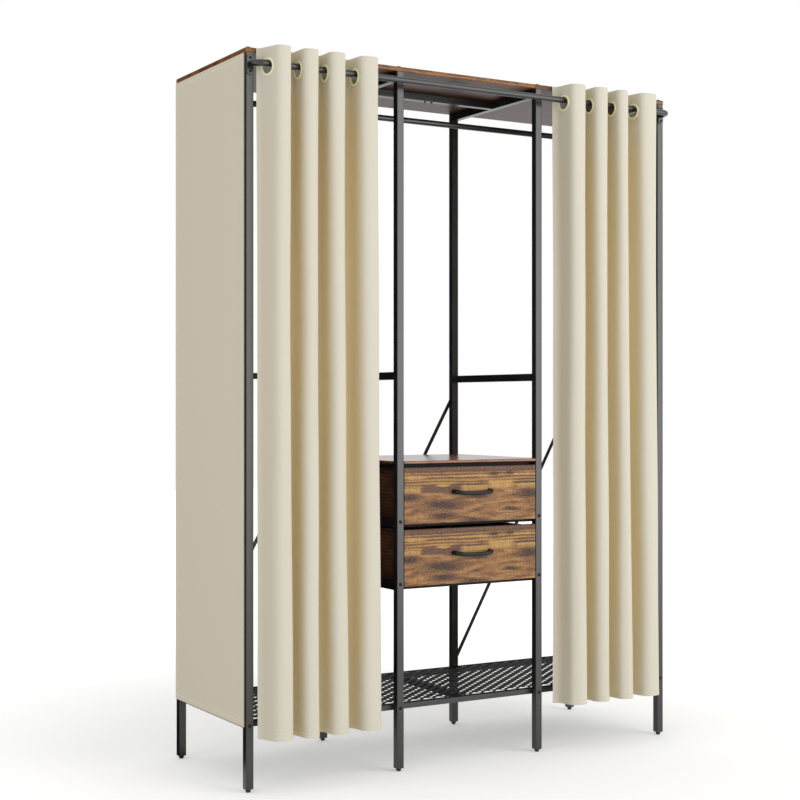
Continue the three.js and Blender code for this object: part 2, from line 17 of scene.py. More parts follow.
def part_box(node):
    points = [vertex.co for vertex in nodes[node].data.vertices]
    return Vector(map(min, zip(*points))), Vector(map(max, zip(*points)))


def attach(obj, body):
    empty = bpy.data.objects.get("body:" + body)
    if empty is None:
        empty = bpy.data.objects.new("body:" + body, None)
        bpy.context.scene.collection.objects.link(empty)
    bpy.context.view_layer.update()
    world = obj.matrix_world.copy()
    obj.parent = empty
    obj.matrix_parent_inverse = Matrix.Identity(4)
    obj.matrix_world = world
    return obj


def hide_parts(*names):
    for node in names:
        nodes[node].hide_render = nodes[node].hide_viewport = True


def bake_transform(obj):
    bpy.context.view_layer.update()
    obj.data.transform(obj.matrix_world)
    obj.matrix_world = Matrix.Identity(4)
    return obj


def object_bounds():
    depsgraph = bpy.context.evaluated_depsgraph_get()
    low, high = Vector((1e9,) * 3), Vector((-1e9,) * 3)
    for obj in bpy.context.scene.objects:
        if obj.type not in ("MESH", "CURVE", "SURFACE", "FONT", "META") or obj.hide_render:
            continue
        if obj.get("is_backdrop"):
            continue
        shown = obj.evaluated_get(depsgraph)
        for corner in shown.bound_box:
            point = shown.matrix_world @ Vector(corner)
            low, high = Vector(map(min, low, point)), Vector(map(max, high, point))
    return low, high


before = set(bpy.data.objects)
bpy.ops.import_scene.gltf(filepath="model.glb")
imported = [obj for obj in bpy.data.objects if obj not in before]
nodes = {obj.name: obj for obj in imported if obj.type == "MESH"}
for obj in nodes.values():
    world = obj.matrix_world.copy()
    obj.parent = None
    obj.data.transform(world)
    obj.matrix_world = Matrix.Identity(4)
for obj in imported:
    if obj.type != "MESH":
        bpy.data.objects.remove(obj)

MM = 0.001
cad_low, cad_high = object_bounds()


def centre_of(node):
    """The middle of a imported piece's box."""
    low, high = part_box(node)
    return (low + high) / 2


end_post_low, end_post_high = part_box("post_left_end_front")
FRONT = end_post_low.y
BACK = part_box("post_left_end_rear")[1].y
MIDDLE = (FRONT + BACK) / 2
HALF_WIDTH = -end_post_low.x
POST = end_post_high.x - end_post_low.x
print("posts", round(2 * HALF_WIDTH, 4), "wide,", round(BACK - FRONT, 4), "deep")

# %% [markdown]
# The camera stands in front of the left end at chest height and looks level, so all the posts stay
# upright in the picture. Its place was worked out from the posts' corners. A long lens keeps the
# perspective mild. A small upward shift puts the horizon just under the middle of the picture.

# %% Place the camera
CAMERA_PLACE = (-2.2247, MIDDLE - 3.5967, 0.9396)
CAMERA_TURN = -30.697
CAMERA_LENS = 69.27
CAMERA_SHIFT = 0.0046

scene = bpy.context.scene
camera_data = bpy.data.cameras.new("camera")
camera_data.lens = CAMERA_LENS
camera_data.sensor_width = 36
camera_data.shift_y = CAMERA_SHIFT
camera = bpy.data.objects.new("camera", camera_data)
camera.location = CAMERA_PLACE
camera.rotation_euler = (radians(90), 0, radians(CAMERA_TURN))
scene.collection.objects.link(camera)
scene.camera = camera
print("camera at", CAMERA_PLACE)

# %% [markdown]
# Colours are picked as sRGB hex values, as on a screen. Blender's shaders want linear light, so
# one function turns them over. Another adds a shader node, sets it and wires it. Most finishes are
# tints laid over each other, each as strongly as some noise says, with a bump of real depth at the
# end.

# %% Helpers for colours and nodes
def linear(hex_value):
    """An sRGB hex colour as linear red, green, blue and alpha."""
    channels = [int(hex_value[i:i + 2], 16) / 255 for i in (1, 3, 5)]
    return (*[c / 12.92 if c <= 0.04045 else ((c + 0.055) / 1.055) ** 2.4 for c in channels], 1)


def wire(output, node, name):
    """Link an output to a named input of another node."""
    node.id_data.links.new(output, node.inputs[name])


def add_node(tree, kind, inputs=None, out=0, stops=(), **settings):
    """Add a shader node and return one of its outputs. An input that is a socket is linked, any
    other value is set, and stops fill a colour ramp."""
    node = tree.nodes.new("ShaderNode" + kind)
    for name, value in settings.items():
        setattr(node, name, value)
    for name, value in (inputs or {}).items():
        if isinstance(value, bpy.types.NodeSocket):
            wire(value, node, name)
        else:
            node.inputs[name].default_value = value
    if stops:
        elements = node.color_ramp.elements
        while len(elements) < len(stops):
            elements.new(1)
        for element, (place, colour) in zip(elements, stops):
            element.position = place
            element.color = linear(colour)
    return node.outputs[out]


def start_material(name, colour, roughness, gloss=0.5, metallic=0.0):
    """A material, a call that adds nodes to it, and its principled shader, set to the flat values
    that its finish starts from."""
    material = bpy.data.materials.new(name)
    material.use_nodes = True
    shader = material.node_tree.nodes["Principled BSDF"]
    shader.inputs["Base Color"].default_value = linear(colour)
    shader.inputs["Roughness"].default_value = roughness
    shader.inputs["Specular IOR Level"].default_value = gloss
    shader.inputs["Metallic"].default_value = metallic
    return material, partial(add_node, material.node_tree), shader


def lay_over(add, colour, layers, mode="MIX"):
    """Lay tints over a colour. Each of (value, low, high, least, most, tint) is laid by the share
    least where its value is low, and most where it is high. The last share is returned too."""
    for value, low, high, least, most, tint in layers:
        share = add("MapRange", {"Value": value, "From Min": low, "From Max": high,
                                 "To Min": least, "To Max": most})
        over = linear(tint) if isinstance(tint, str) else tint
        colour = add("Mix", {0: share, 6: colour, 7: over}, out=2, data_type="RGBA",
                     blend_type=mode)
    return colour, share


def finish_shader(add, shader, colour, height, strength, depth_mm):
    """Wire a colour into the shader, and a height as a bump of a real depth."""
    bump = add("Bump", {"Strength": strength, "Distance": depth_mm * MM, "Height": height})
    wire(colour, shader, "Base Color")
    wire(bump, shader, "Normal")


def stretched(add, place, along, along_mm, across_mm, shift=0.0):
    """Coordinates in which one unit is a mark of this length along the grain and width across."""
    split = add("SeparateXYZ", {0: place}).node.outputs
    one, other = [split[axis] for axis in "XYZ" if axis != along]
    across = add("Math", {0: one, 1: other}, operation="ADD")
    length = add("Math", {0: split[along], 1: 1 / (along_mm * MM)}, operation="MULTIPLY")
    width = add("Math", {0: across, 1: 1 / (across_mm * MM)}, operation="MULTIPLY")
    return add("CombineXYZ", {"X": length, "Y": width, "Z": shift})


# %% [markdown]
# Powder-coated steel tube: a dry polyester powder baked on the steel. It is black, with a satin
# surface that is very slightly uneven, called orange peel. The coat is a plastic, so it isn't
# metallic: its gloss is weak from in front and strong at a grazing angle. A face that mirrors the
# softbox turns grey and the face beside it stays black. The welded tiers that carry the drawers
# and the mesh get darker, duller copies of the same coat, the mesh the dullest, as painted shade:
# the tiers for the shade under the boards and between the drawers, the mesh for the shade of its
# twisted strands. The real peel is about 1 mm across, and is drawn at 3 mm so that it shows.

# %% Powder-coated steel
COAT_PEEL_MM = 3.0
POLYESTER_COAT_IOR = 1.58


def powder_coated_steel(name, shade, light_shade, roughness, gloss):
    material, add, shader = start_material(name, shade, roughness, gloss)
    shader.inputs["IOR"].default_value = POLYESTER_COAT_IOR
    place = add("TexCoord", out="Object")
    peel = add("TexNoise", {"Vector": place, "Scale": 1 / (COAT_PEEL_MM * MM), "Detail": 2.0})
    cloud = add("TexNoise", {"Vector": place, "Scale": 9.0, "Detail": 3.0})
    colour = add("ValToRGB", {0: cloud}, stops=[(0.35, shade), (0.65, light_shade)])
    polish = add("MapRange", {"Value": cloud, "To Min": roughness - 0.03,
                              "To Max": roughness + 0.03})
    wire(polish, shader, "Roughness")
    finish_shader(add, shader, colour, peel, 0.12, 0.2)
    return material


steel = powder_coated_steel("powder_coated_steel", "#191A1B", "#212223", 0.30, 0.55)
# Painted shade: darker, duller copies of the coat for the drawer tiers and for the mesh.
shaded_tier_steel = powder_coated_steel("coat_with_painted_shade_tiers", "#111212", "#171818", 0.50, 0.12)
mesh_steel = powder_coated_steel("coat_with_painted_shade_mesh", "#0C0D0D", "#111212", 0.60, 0.03)
print("made", steel.name, shaded_tier_steel.name, mesh_steel.name)

# %% [markdown]
# Printed melamine board: chipboard faced with paper that carries a photographed wood grain under a
# clear hard resin. The print is rustic: long gold and brown rings, ragged blocks where a saw took
# the stain off or left it thick, plum-dark smudges, fine saw marks and short dark pores. Every
# layer is a noise or a wave stretched to its real size. Two of them need more than one node: the
# rings are a wave that a broad noise pushes about, and the blocks are square cells with ragged
# edges.

# %% Rings and blocks of the printed board
def year_rings(add, place, along, ring_mm, push_turns, shift):
    """Long wavy lines with eyes in them, from 0 to 1."""
    push = add("TexNoise", {"Vector": stretched(add, place, along, 150, 34, shift),
                            "Scale": 1.0, "Detail": 3.0, "Roughness": 0.45})
    lines = add("SeparateXYZ", {0: stretched(add, place, along, 1000, ring_mm)}, out="Y")
    pushed = add("Math", {0: push, 1: push_turns, 2: lines}, operation="MULTIPLY_ADD")
    turns = add("Math", {0: pushed, 1: 2 * pi}, operation="MULTIPLY")
    wave = add("Math", {0: turns}, operation="SINE")
    return add("MapRange", {"Value": wave, "From Min": -1.0})


def ragged_blocks(add, place, along, shift):
    """A random number for each cell of a ragged block pattern."""
    rag = add("TexNoise", {"Vector": stretched(add, place, along, 9, 4, shift + 2),
                           "Scale": 1.0, "Detail": 4.0}, out="Color")
    spread = add("VectorMath", {0: rag, 1: (0.45, 0.45, 0.0)}, operation="MULTIPLY")
    blocks = add("VectorMath", {0: stretched(add, place, along, 60, 17, shift), 1: spread},
                 operation="ADD")
    cells = add("TexVoronoi", {"Vector": blocks, "Scale": 1.0}, out="Color", distance="CHEBYCHEV")
    return add("SeparateXYZ", {0: cells}, out="X")


# %% [markdown]
# Both drawer fronts carry the same cut of the print, so its large marks are placed: where the saw
# cleared the stain to gold, where the plum stain stayed thick, and where it is smudged. Each has a
# centre and half its size in millimetres from the front's lower left corner. A noise roughens the
# edges sideways more than up and down, as a dry brush does.

# %% Placed marks of the drawer fronts
FRONT_MARKS = {  # tint, strength, softness of the edge, whether it is squared, and the marks
    "plum": ("#5C423C", 0.85, 0.12, True, [
        (250, 139, 262, 9), (112, 89, 62, 10), (466, 90, 42, 12), (205, 98, 52, 3),
        (385, 100, 38, 3), (480, 3, 60, 8)]),
    "gold": ("#C99E5E", 0.80, 0.14, True, [
        (22, 85, 27, 7), (216, 90, 42, 6), (298, 97, 38, 10), (388, 90, 36, 7)]),
    "eye": ("#C99E60", 0.85, 0.25, False, [
        (117, 97, 20, 4), (30, 119, 34, 5), (210, 121, 44, 3), (370, 122, 55, 3)]),
    "smudge": ("#38282A", 0.95, 0.60, False, [
        (390, 71, 38, 15), (474, 50, 42, 14), (118, 47, 66, 13), (117, 18, 40, 9), (16, 68, 30, 11),
        (276, 125, 16, 5), (328, 126, 13, 5), (215, 5, 44, 6), (226, 68, 36, 6), (460, 22, 60, 6),
        (330, 30, 30, 4), (466, 92, 34, 12)]),
}
EDGE_ROUGHNESS = (34 * MM, 0.0, 9 * MM)


def lay_marks(add, place, along, colour, shift):
    """The colour with every placed mark laid over it, its edges roughened."""
    rag = add("TexNoise", {"Vector": stretched(add, place, along, 16, 5, shift + 31),
                           "Scale": 1.0, "Detail": 6.0, "Roughness": 0.7}, out="Color")
    centred = add("VectorMath", {0: rag, 1: (0.5, 0.5, 0.5)}, operation="SUBTRACT")
    spread = add("VectorMath", {0: centred, 1: EDGE_ROUGHNESS}, operation="MULTIPLY")
    rough = add("VectorMath", {0: place, 1: spread}, operation="ADD")
    for tint, strength, soft, squared, marks in FRONT_MARKS.values():
        for x, z, half_x, half_z in marks:
            off = add("VectorMath", {0: rough, 1: (x * MM, 0, z * MM)}, operation="SUBTRACT")
            off = add("VectorMath", {0: off, 1: (1 / (half_x * MM), 0, 1 / (half_z * MM))},
                      operation="MULTIPLY")
            if squared:
                sides = add("VectorMath", {0: off}, operation="ABSOLUTE")
                split = add("SeparateXYZ", {0: sides}).node.outputs
                reach = add("Math", {0: split["X"], 1: split["Z"]}, operation="MAXIMUM")
            else:
                reach = add("VectorMath", {0: off}, out="Value", operation="LENGTH")
            colour, _ = lay_over(add, colour, [(reach, 1 - soft, 1 + soft, strength, 0.0, tint)])
    return colour


# %% [markdown]
# Every board is cut from the same kind of print. The grain runs along one axis, and a shift gives
# each board its own cut. The sides and tops stand in another light, so a tone multiplies theirs as
# painted light and shade, and the top board's downward face is darkened again as painted shade.
# A satin resin mirrors a little pale light, and the pores are duller.

# %% Printed melamine board
def printed_melamine_board(name, along, node, shift, placed=False, painted_light_tone="#FFFFFF", painted_underside_shade="#FFFFFF",
                           gloss=0.2, roughness=0.42):
    """The tone paints light and shade over the whole print, the underside tone paints shade below.
    """
    material, add, shader = start_material(name, "#9A7550", roughness, gloss)
    low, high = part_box(node)
    size = tuple(high - low)
    share = add("TexCoord", out="Generated")
    place = add("VectorMath", {0: share, 1: size}, operation="MULTIPLY")

    def layer(along_mm, across_mm, detail, grit=0.5, distortion=0.0, seed=0.0):
        vector = stretched(add, place, along, along_mm, across_mm, shift + seed)
        return add("TexNoise", {"Vector": vector, "Scale": 1.0, "Detail": detail,
                                "Roughness": grit, "Distortion": distortion})

    colour = add("ValToRGB", {0: layer(150, 20, 5.0, 0.6, 0.4, 1)}, stops=[
        (0.30, "#6F4C3A"), (0.45, "#93683F"), (0.56, "#AA7E4A"), (0.70, "#BE9355")])
    rings = year_rings(add, place, along, 9, 1.6, shift)
    colour, _ = lay_over(add, colour, [(rings, 0.5, 0.95, 0.0, 0.7, "#CDA262"),
                                       (rings, 0.0, 0.3, 0.9, 0.0, "#573A33")])
    if placed:
        height = add("SeparateXYZ", {0: place}, out="Z")
        low_part = add("ValToRGB", {0: layer(70, 12, 6.0, 0.66, 0.4, 3)}, stops=[
            (0.34, "#664638"), (0.44, "#8F6240"), (0.54, "#AE8150"), (0.70, "#C39A62")])
        colour, _ = lay_over(add, low_part, [
            (height, 0.55 * size[2], 0.66 * size[2], 0.0, 1.0, colour)])
    colour, streaks = lay_over(add, colour, [
        (layer(38, 2.0, 3.0, 0.6, seed=15), 0.44, 0.62, 0.0, 0.4, "#5E4234")])
    if placed:
        colour = lay_marks(add, place, along, colour, shift)
    else:
        block = ragged_blocks(add, place, along, shift + 5)
        colour, _ = lay_over(add, colour, [
            (block, 0.80, 0.83, 0.0, 0.6, "#C1955A"), (block, 0.24, 0.27, 0.62, 0.0, "#64483F"),
            (layer(58, 17, 6.0, 0.66, 0.5, 13), 0.53, 0.66, 0.0, 0.8, "#4D3A36")])
    colour, pores = lay_over(add, colour, [
        (layer(4.5, 26, 2.0, seed=9), 0.48, 0.64, 0.0, 0.3, "#5E4034"),
        (layer(5, 2.4, 4.0, 0.7, seed=17), 0.50, 0.62, 0.0, 0.42, "#402C26")])
    # Painted highlights: pale flecks laid into the colour as glints on the resin.
    colour, _ = lay_over(add, colour, [
        (layer(6, 2.0, 3.0, seed=25), 0.54, 0.68, 0.0, 0.3, "#D8AE70")])
    # Painted light and shade: the tone multiplies the print, the underside tone darkens the
    # downward face.
    painted_light_print = add("Mix", {0: 1.0, 6: colour, 7: linear(painted_light_tone)}, out=2, data_type="RGBA",
                blend_type="MULTIPLY")
    facing = add("SeparateXYZ", {0: add("NewGeometry", out="Normal")}, out="Z")
    painted_light_print, _ = lay_over(add, painted_light_print, [(facing, -0.9, -0.6, 1.0, 0.0, painted_underside_shade)], "MULTIPLY")
    polish = add("MapRange", {"Value": pores, "From Max": 0.5, "To Min": roughness,
                              "To Max": roughness + 0.08})
    wire(polish, shader, "Roughness")
    finish_shader(add, shader, painted_light_print, streaks, 0.12, 0.15)
    return material


front_board = printed_melamine_board("printed_board_front", "X", "drawer_lower_front", 2.0,
                                     placed=True)
back_board = printed_melamine_board("printed_board_back", "X", "drawer_lower_back", 6.0)
# The tones of the sides, the top and the cover are painted light and shade; the top's underside
# tone is painted shade.
side_board = printed_melamine_board("printed_board_side", "Y", "drawer_lower_side_left", 4.0,
                                    painted_light_tone="#9C8478")
top_half_board = printed_melamine_board("printed_board_top", "X", "top_board_left", 8.0,
                                        painted_light_tone="#E0C49C", painted_underside_shade="#A08C82", gloss=0.3)
cover_board = printed_melamine_board("printed_board_cover", "X", "drawer_cover_board", 11.0,
                                     painted_light_tone="#D8AC78", gloss=0.5, roughness=0.2)
boards = (front_board, back_board, side_board, top_half_board, cover_board)
print("made", [board.name for board in boards])

# %% [markdown]
# Hardboard is pressed wood fibre. The drawers' bottoms are a thin brown sheet of it, matte, with a
# fine felt of fibres and nothing else to see.

# %% Hardboard
def pressed_hardboard():
    material, add, shader = start_material("pressed_hardboard", "#8A6A4C", 0.8)
    felt = stretched(add, add("TexCoord", out="Object"), "X", 4, 2)
    fibres = add("TexNoise", {"Vector": felt, "Scale": 1.0, "Detail": 4.0})
    colour = add("ValToRGB", {0: fibres}, stops=[(0.3, "#7A5B3F"), (0.7, "#9A7A58")])
    wire(colour, shader, "Base Color")
    return material


hardboard = pressed_hardboard()
print("made", hardboard.name)

# %% [markdown]
# Woven polyester curtain cloth: a close plain weave, matte and warm off-white, with a faint sheen
# from its round threads. Light goes through thin cloth and back and forth between the folds, and
# takes up the cloth's warm colour each time, so the folds' inner sides look golden. That glow is
# painted into the colour: the sheet carries its fold depth, from 0 on a crest to 1 in a valley, and
# the colour turns golden with it, as painted light and shade. From behind a crest is the deep part,
# so the back has the same cloth with its painted tints turned round. Real threads lie about 0.4 mm
# apart, and are drawn at 1.6 mm so that a close view shows them. The weave reads the sheet's own
# flat coordinates, so it follows the folds. Stitched hems are faint lines. On the side panels they
# are paler than the cloth, partly stitching and partly a painted highlight along the hems.

# %% Woven polyester cloth
THREAD_MM = 1.6
CURTAIN_HEM = 15 * MM
PANEL_HEM = 12 * MM


def woven_polyester(name, stops, seams=(), seam_and_highlight_tint="#B8AB8C", strength=0.22):
    """seams are (axis, place) pairs: lines of stitches at a place on the flat cloth, in metres."""
    material, add, shader = start_material(name, stops[0][1], 0.9, gloss=0.25)
    shader.inputs["Sheen Weight"].default_value = 0.08
    shader.inputs["Sheen Roughness"].default_value = 0.5
    flat = add("UVMap", uv_map="flat_cloth")
    split = add("SeparateXYZ", {0: flat}).node.outputs
    waves = []
    for axis in "XY":
        turns = add("Math", {0: split[axis], 1: 2 * pi / (THREAD_MM * MM)}, operation="MULTIPLY")
        waves.append(add("Math", {0: turns}, operation="SINE"))
    weave = add("Math", {0: waves[0], 1: waves[1]}, operation="MULTIPLY")
    slub = add("TexNoise", {"Vector": flat, "Scale": 350.0, "Detail": 3.0})
    uneven = add("MapRange", {"Value": slub, "From Min": 0.3, "From Max": 0.7,
                              "To Min": -0.02, "To Max": 0.02})
    # Painted light and shade: the colour follows the fold depth and turns golden in the valleys.
    fold_shade = add("SeparateXYZ", {0: add("UVMap", uv_map="painted_fold_shade")}, out="X")
    fold_shade = add("Math", {0: fold_shade, 1: uneven}, operation="ADD")
    colour = add("ValToRGB", {0: fold_shade}, stops=stops)
    for axis, at in seams:
        off = add("Math", {0: split[axis], 1: at}, operation="SUBTRACT")
        near = add("Math", {0: off}, operation="ABSOLUTE")
        colour, _ = lay_over(add, colour, [(near, 0.5 * MM, 1.3 * MM, strength, 0.0, seam_and_highlight_tint)])
    finish_shader(add, shader, colour, weave, 0.08, 0.25)
    return material


curtain_low, curtain_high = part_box("curtain_left")
panel_low, panel_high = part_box("side_panel_left")
# The curtain's tints by fold depth are painted light and shade; the back has the same turned round.
curtain_cloth = woven_polyester("woven_polyester_curtain", [
    (0.0, "#D9D3C3"), (0.2, "#D6CEBA"), (0.5, "#D9CCAA"), (1.0, "#DDCBA2")],
                                seams=[("Y", curtain_low.z + CURTAIN_HEM)])
curtain_back = woven_polyester("woven_polyester_curtain_back", [
    (0.0, "#CBBE9C"), (0.45, "#D5CAAD"), (1.0, "#DCD6C7")])
# The side panels' pale hem lines are stitching drawn paler than the cloth, as a painted highlight.
panel_cloth = woven_polyester("woven_polyester_side", [(0.0, "#D7CFBB"), (0.03, "#D3CAB5")], seams=[
    ("X", PANEL_HEM), ("X", panel_high.y - panel_low.y - PANEL_HEM),
    ("Y", panel_low.z + PANEL_HEM), ("Y", panel_high.z - PANEL_HEM)],
    seam_and_highlight_tint="#EDE6D6", strength=0.5)
print("made", curtain_cloth.name, curtain_back.name, panel_cloth.name)

# %% [markdown]
# Small mouldings and metal: the eyelets are glossy cream ABS, the feet are dull black
# polypropylene, the handles are zinc alloy under a black lacquer, and the screws are steel under
# black oxide. Moulded ABS is smooth and bright at its edges. Polypropylene scatters light from a
# fine grain.

# %% Moulded plastic, lacquered zinc and oxide-black screws
def fine_grained(name, colour, worn, roughness, metallic, grain_mm, gloss=0.5):
    material, add, shader = start_material(name, colour, roughness, gloss, metallic)
    place = add("TexCoord", out="Object")
    grain = add("TexNoise", {"Vector": place, "Scale": 1 / (grain_mm * MM), "Detail": 3.0})
    tint = add("ValToRGB", {0: grain}, stops=[(0.3, worn), (0.7, colour)])
    finish_shader(add, shader, tint, grain, 0.08, 0.1)
    return material


cream_abs = fine_grained("cream_abs", "#FBF6C6", "#F6EFB6", 0.3, 0.0, 6)
black_polypropylene = fine_grained("black_polypropylene", "#161616", "#101010", 0.55, 0.0, 1.5)
lacquered_zinc = fine_grained("lacquered_zinc", "#0D0E0F", "#090A0B", 0.34, 0.0, 2, gloss=0.3)
oxide_black_steel = fine_grained("oxide_black_steel", "#2A2B2D", "#1E1F21", 0.38, 0.8, 1.5)
print("made", cream_abs.name, black_polypropylene.name, lacquered_zinc.name, oxide_black_steel.name)

# %% [markdown]
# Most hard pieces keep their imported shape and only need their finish. Posts, rungs and bars are
# steel, boards are printed on both faces, and a drawer's sides have the grain along their length.

# %% Dress the pieces that keep their shape
def dress(finish, *starts):
    """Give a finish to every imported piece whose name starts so, and count them."""
    names = [name for name in nodes if name.startswith(starts)]
    for name in names:
        materials = nodes[name].data.materials
        materials.clear()
        materials.append(finish)
    return len(names)


dressed = dress(steel, "post_", "upper_rung", "middle_rung", "rear_strap", "centre_beam",
                "shelf_frame")
dressed += dress(shaded_tier_steel, "drawer_tier", "cover_tier")
dressed += dress(top_half_board, "top_board") + dress(cover_board, "drawer_cover_board")
for part, finish in (("front", front_board), ("back", back_board), ("side", side_board),
                     ("bottom", hardboard)):
    dressed += dress(finish, f"drawer_lower_{part}", f"drawer_upper_{part}")
print("dressed", dressed, "pieces")

# %% [markdown]
# Every new piece is a mesh built from points, then given its finish, its smooth shading and the
# body that it moves with. The imported piece that it stands for, if there is one, isn't shown any
# more.

# %% Helpers for meshes
def mesh_object(name, points, faces, *finishes):
    mesh = bpy.data.meshes.new(name)
    mesh.from_pydata([tuple(p) for p in points], [], faces)
    mesh.update()
    for finish in finishes:
        mesh.materials.append(finish)
    made = bpy.data.objects.new(name, mesh)
    scene.collection.objects.link(made)
    return made


def face_out(piece):
    """Turn all faces outwards."""
    work = bmesh.new()
    work.from_mesh(piece.data)
    bmesh.ops.recalc_face_normals(work, faces=work.faces)
    work.to_mesh(piece.data)
    work.free()


def shade(piece, smooth=True, sharp=None):
    """Shade smooth or flat. Edges that turn more than sharp degrees stay sharp."""
    piece.data.polygons.foreach_set("use_smooth", [smooth] * len(piece.data.polygons))
    if sharp:
        piece.data.set_sharp_from_angle(angle=radians(sharp))


def add_piece(name, shape, finish, body, node=None, smooth=True, sharp=None):
    """A piece that rides on a body and takes the given finish. node is what it replaces."""
    piece = mesh_object(name, *shape, finish)
    face_out(piece)
    shade(piece, smooth, sharp)
    if body:
        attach(piece, body)
    if node:
        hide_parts(node)
    return piece


# %% [markdown]
# Three helpers make most shapes: a round piece turned about an axis, a bar swept along a path, and
# the join of several shapes. A shape is always a list of points and a list of faces. A turned
# shape stands on the XY plane and points up, and one of the turns below makes it point elsewhere.

# %% Helpers for shapes
AXIS_RIGHT = Matrix.Rotation(radians(90), 4, "Y")
AXIS_LEFT = Matrix.Rotation(radians(-90), 4, "Y")
AXIS_FRONT = Matrix.Rotation(radians(90), 4, "X")
AXIS_BACK = Matrix.Rotation(radians(-90), 4, "X")
AXIS_UP = Matrix.Identity(4)
AXIS_DOWN = Matrix.Rotation(pi, 4, "X")


def turned(section, segments, closed):
    """A section of (radius, height) turned about Z, as a shape. A closed section gives a ring."""
    points, faces = [], []
    count = len(section)
    for step in range(segments):
        angle = 2 * pi * step / segments
        points += [Vector((r * cos(angle), r * sin(angle), h)) for r, h in section]
        here, there = step * count, (step + 1) % segments * count
        for index in range(count if closed else count - 1):
            after = (index + 1) % count
            faces.append((here + index, there + index, there + after, here + after))
    if not closed:
        faces.append([step * count for step in range(segments)][::-1])
        faces.append([step * count + count - 1 for step in range(segments)])
    return points, faces


def swept(path, radii, sides):
    """A bar along a flat path in the XY plane, as a shape, with a radius for each point."""
    points, faces = [], []
    last = len(path) - 1
    for index, centre in enumerate(path):
        heading = (path[min(index + 1, last)] - path[max(index - 1, 0)]).normalized()
        out = Vector((-heading.y, heading.x, 0)).normalized()
        up = heading.cross(out)
        for side in range(sides):
            angle = 2 * pi * side / sides
            points.append(centre + radii[index] * (cos(angle) * out + sin(angle) * up))
            if index < last:
                a, b = index * sides + side, index * sides + (side + 1) % sides
                faces.append((a, b, b + sides, a + sides))
    faces.append(list(range(sides))[::-1])
    faces.append([last * sides + side for side in range(sides)])
    return points, faces


def moved(shape, place, turn=AXIS_UP):
    """The shape turned about the origin, then moved to its place."""
    points, faces = shape
    matrix = Matrix.Translation(place) @ turn
    return [matrix @ p for p in points], faces


def joined(shapes):
    """Several shapes as one list of points and faces."""
    points, faces = [], []
    for more_points, more_faces in shapes:
        faces += [[i + len(points) for i in face] for face in more_faces]
        points += more_points
    return points, faces


# %% [markdown]
# The curtain rod is one tube, bent back at both ends to a plate on each end post. The bends are
# true arcs, so a highlight runs round them in one line. The clothes rails are plain tubes.

# %% Curtain rod and clothes rails
rod_low, rod_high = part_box("curtain_rod")
ROD_RADIUS = 8 * MM
ROD_BEND = 20 * MM
ROD_SIDES = 40
BEND_STEPS = 12
ROD_FOOT_X = HALF_WIDTH - POST / 2
ROD_Y = rod_low.y + ROD_RADIUS
ROD_Z = (rod_low.z + rod_high.z) / 2
PLATE_BACK = FRONT - 0.3 * MM
PLATE_THICK = 2.5 * MM
PLATE_HALF_WIDTH = 9 * MM
PLATE_EDGE = 0.6 * MM
PLATE_SIDES = 48
RAIL_WALL = 1.2 * MM


def rod_path():
    """The centre line of the rod: it runs out, bends, crosses, bends and runs back."""
    path = [Vector((-ROD_FOOT_X, PLATE_BACK, 0))]
    for side, first in ((-1, pi), (1, 1.5 * pi)):
        for step in range(BEND_STEPS + 1):
            angle = first + pi / 2 * step / BEND_STEPS
            path.append(Vector((side * (ROD_FOOT_X - ROD_BEND) + ROD_BEND * cos(angle),
                                ROD_Y + ROD_BEND + ROD_BEND * sin(angle), 0)))
    return path + [Vector((ROD_FOOT_X, PLATE_BACK, 0))]


def rod_plate(x):
    """A disc with a soft edge, its upper and lower half pulled apart, on the post's face."""
    section = [(PLATE_HALF_WIDTH, 0), (PLATE_HALF_WIDTH, PLATE_THICK - PLATE_EDGE),
               (PLATE_HALF_WIDTH - PLATE_EDGE, PLATE_THICK)]
    points, faces = turned(section, PLATE_SIDES, False)
    pull = (rod_high.z - rod_low.z) / 2 - PLATE_HALF_WIDTH
    points = [p + Vector((0, copysign(pull, p.y), 0)) for p in points]
    return moved((points, faces), (x, PLATE_BACK, ROD_Z), AXIS_FRONT)


path = rod_path()
rod_bar = moved(swept(path, [ROD_RADIUS] * len(path), ROD_SIDES), (0, 0, ROD_Z))
rod = joined([rod_bar, rod_plate(-ROD_FOOT_X), rod_plate(ROD_FOOT_X)])
add_piece("curtain_rod_tube", rod, steel, "frame", node="curtain_rod", sharp=35)
for name, node in (("clothes_rail_upper_tube", "clothes_rail_upper"),
                   ("clothes_rail_lower_tube", "clothes_rail_lower_left")):
    low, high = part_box(node)
    radius, half = (high.z - low.z) / 2, (high.x - low.x) / 2
    inner = radius - RAIL_WALL
    section = [(inner, -half), (radius, -half), (radius, half), (inner, half)]
    rail = moved(turned(section, ROD_SIDES, True), centre_of(node), AXIS_RIGHT)
    add_piece(name, rail, steel, "frame", node=node, sharp=35)
print("rod at", round(ROD_Y, 4), round(ROD_Z, 4))

# %% [markdown]
# Each drawer has a bow handle. Its ends stand on the front as small round feet, and the bar
# between them arches out and hangs a few millimetres lower in the middle, which leaves room for
# the fingers.

# %% Bow handles
HANDLE_STEPS = 48
HANDLE_SIDES = 24
BOW_POWER = 0.55
BOW_END_RISE = 1.5 * MM
BOW_DROOP = 4.0 * MM
BOW_MIDDLE_SWELL = 1.10
BOW_FOOT_SWELL = 1.35

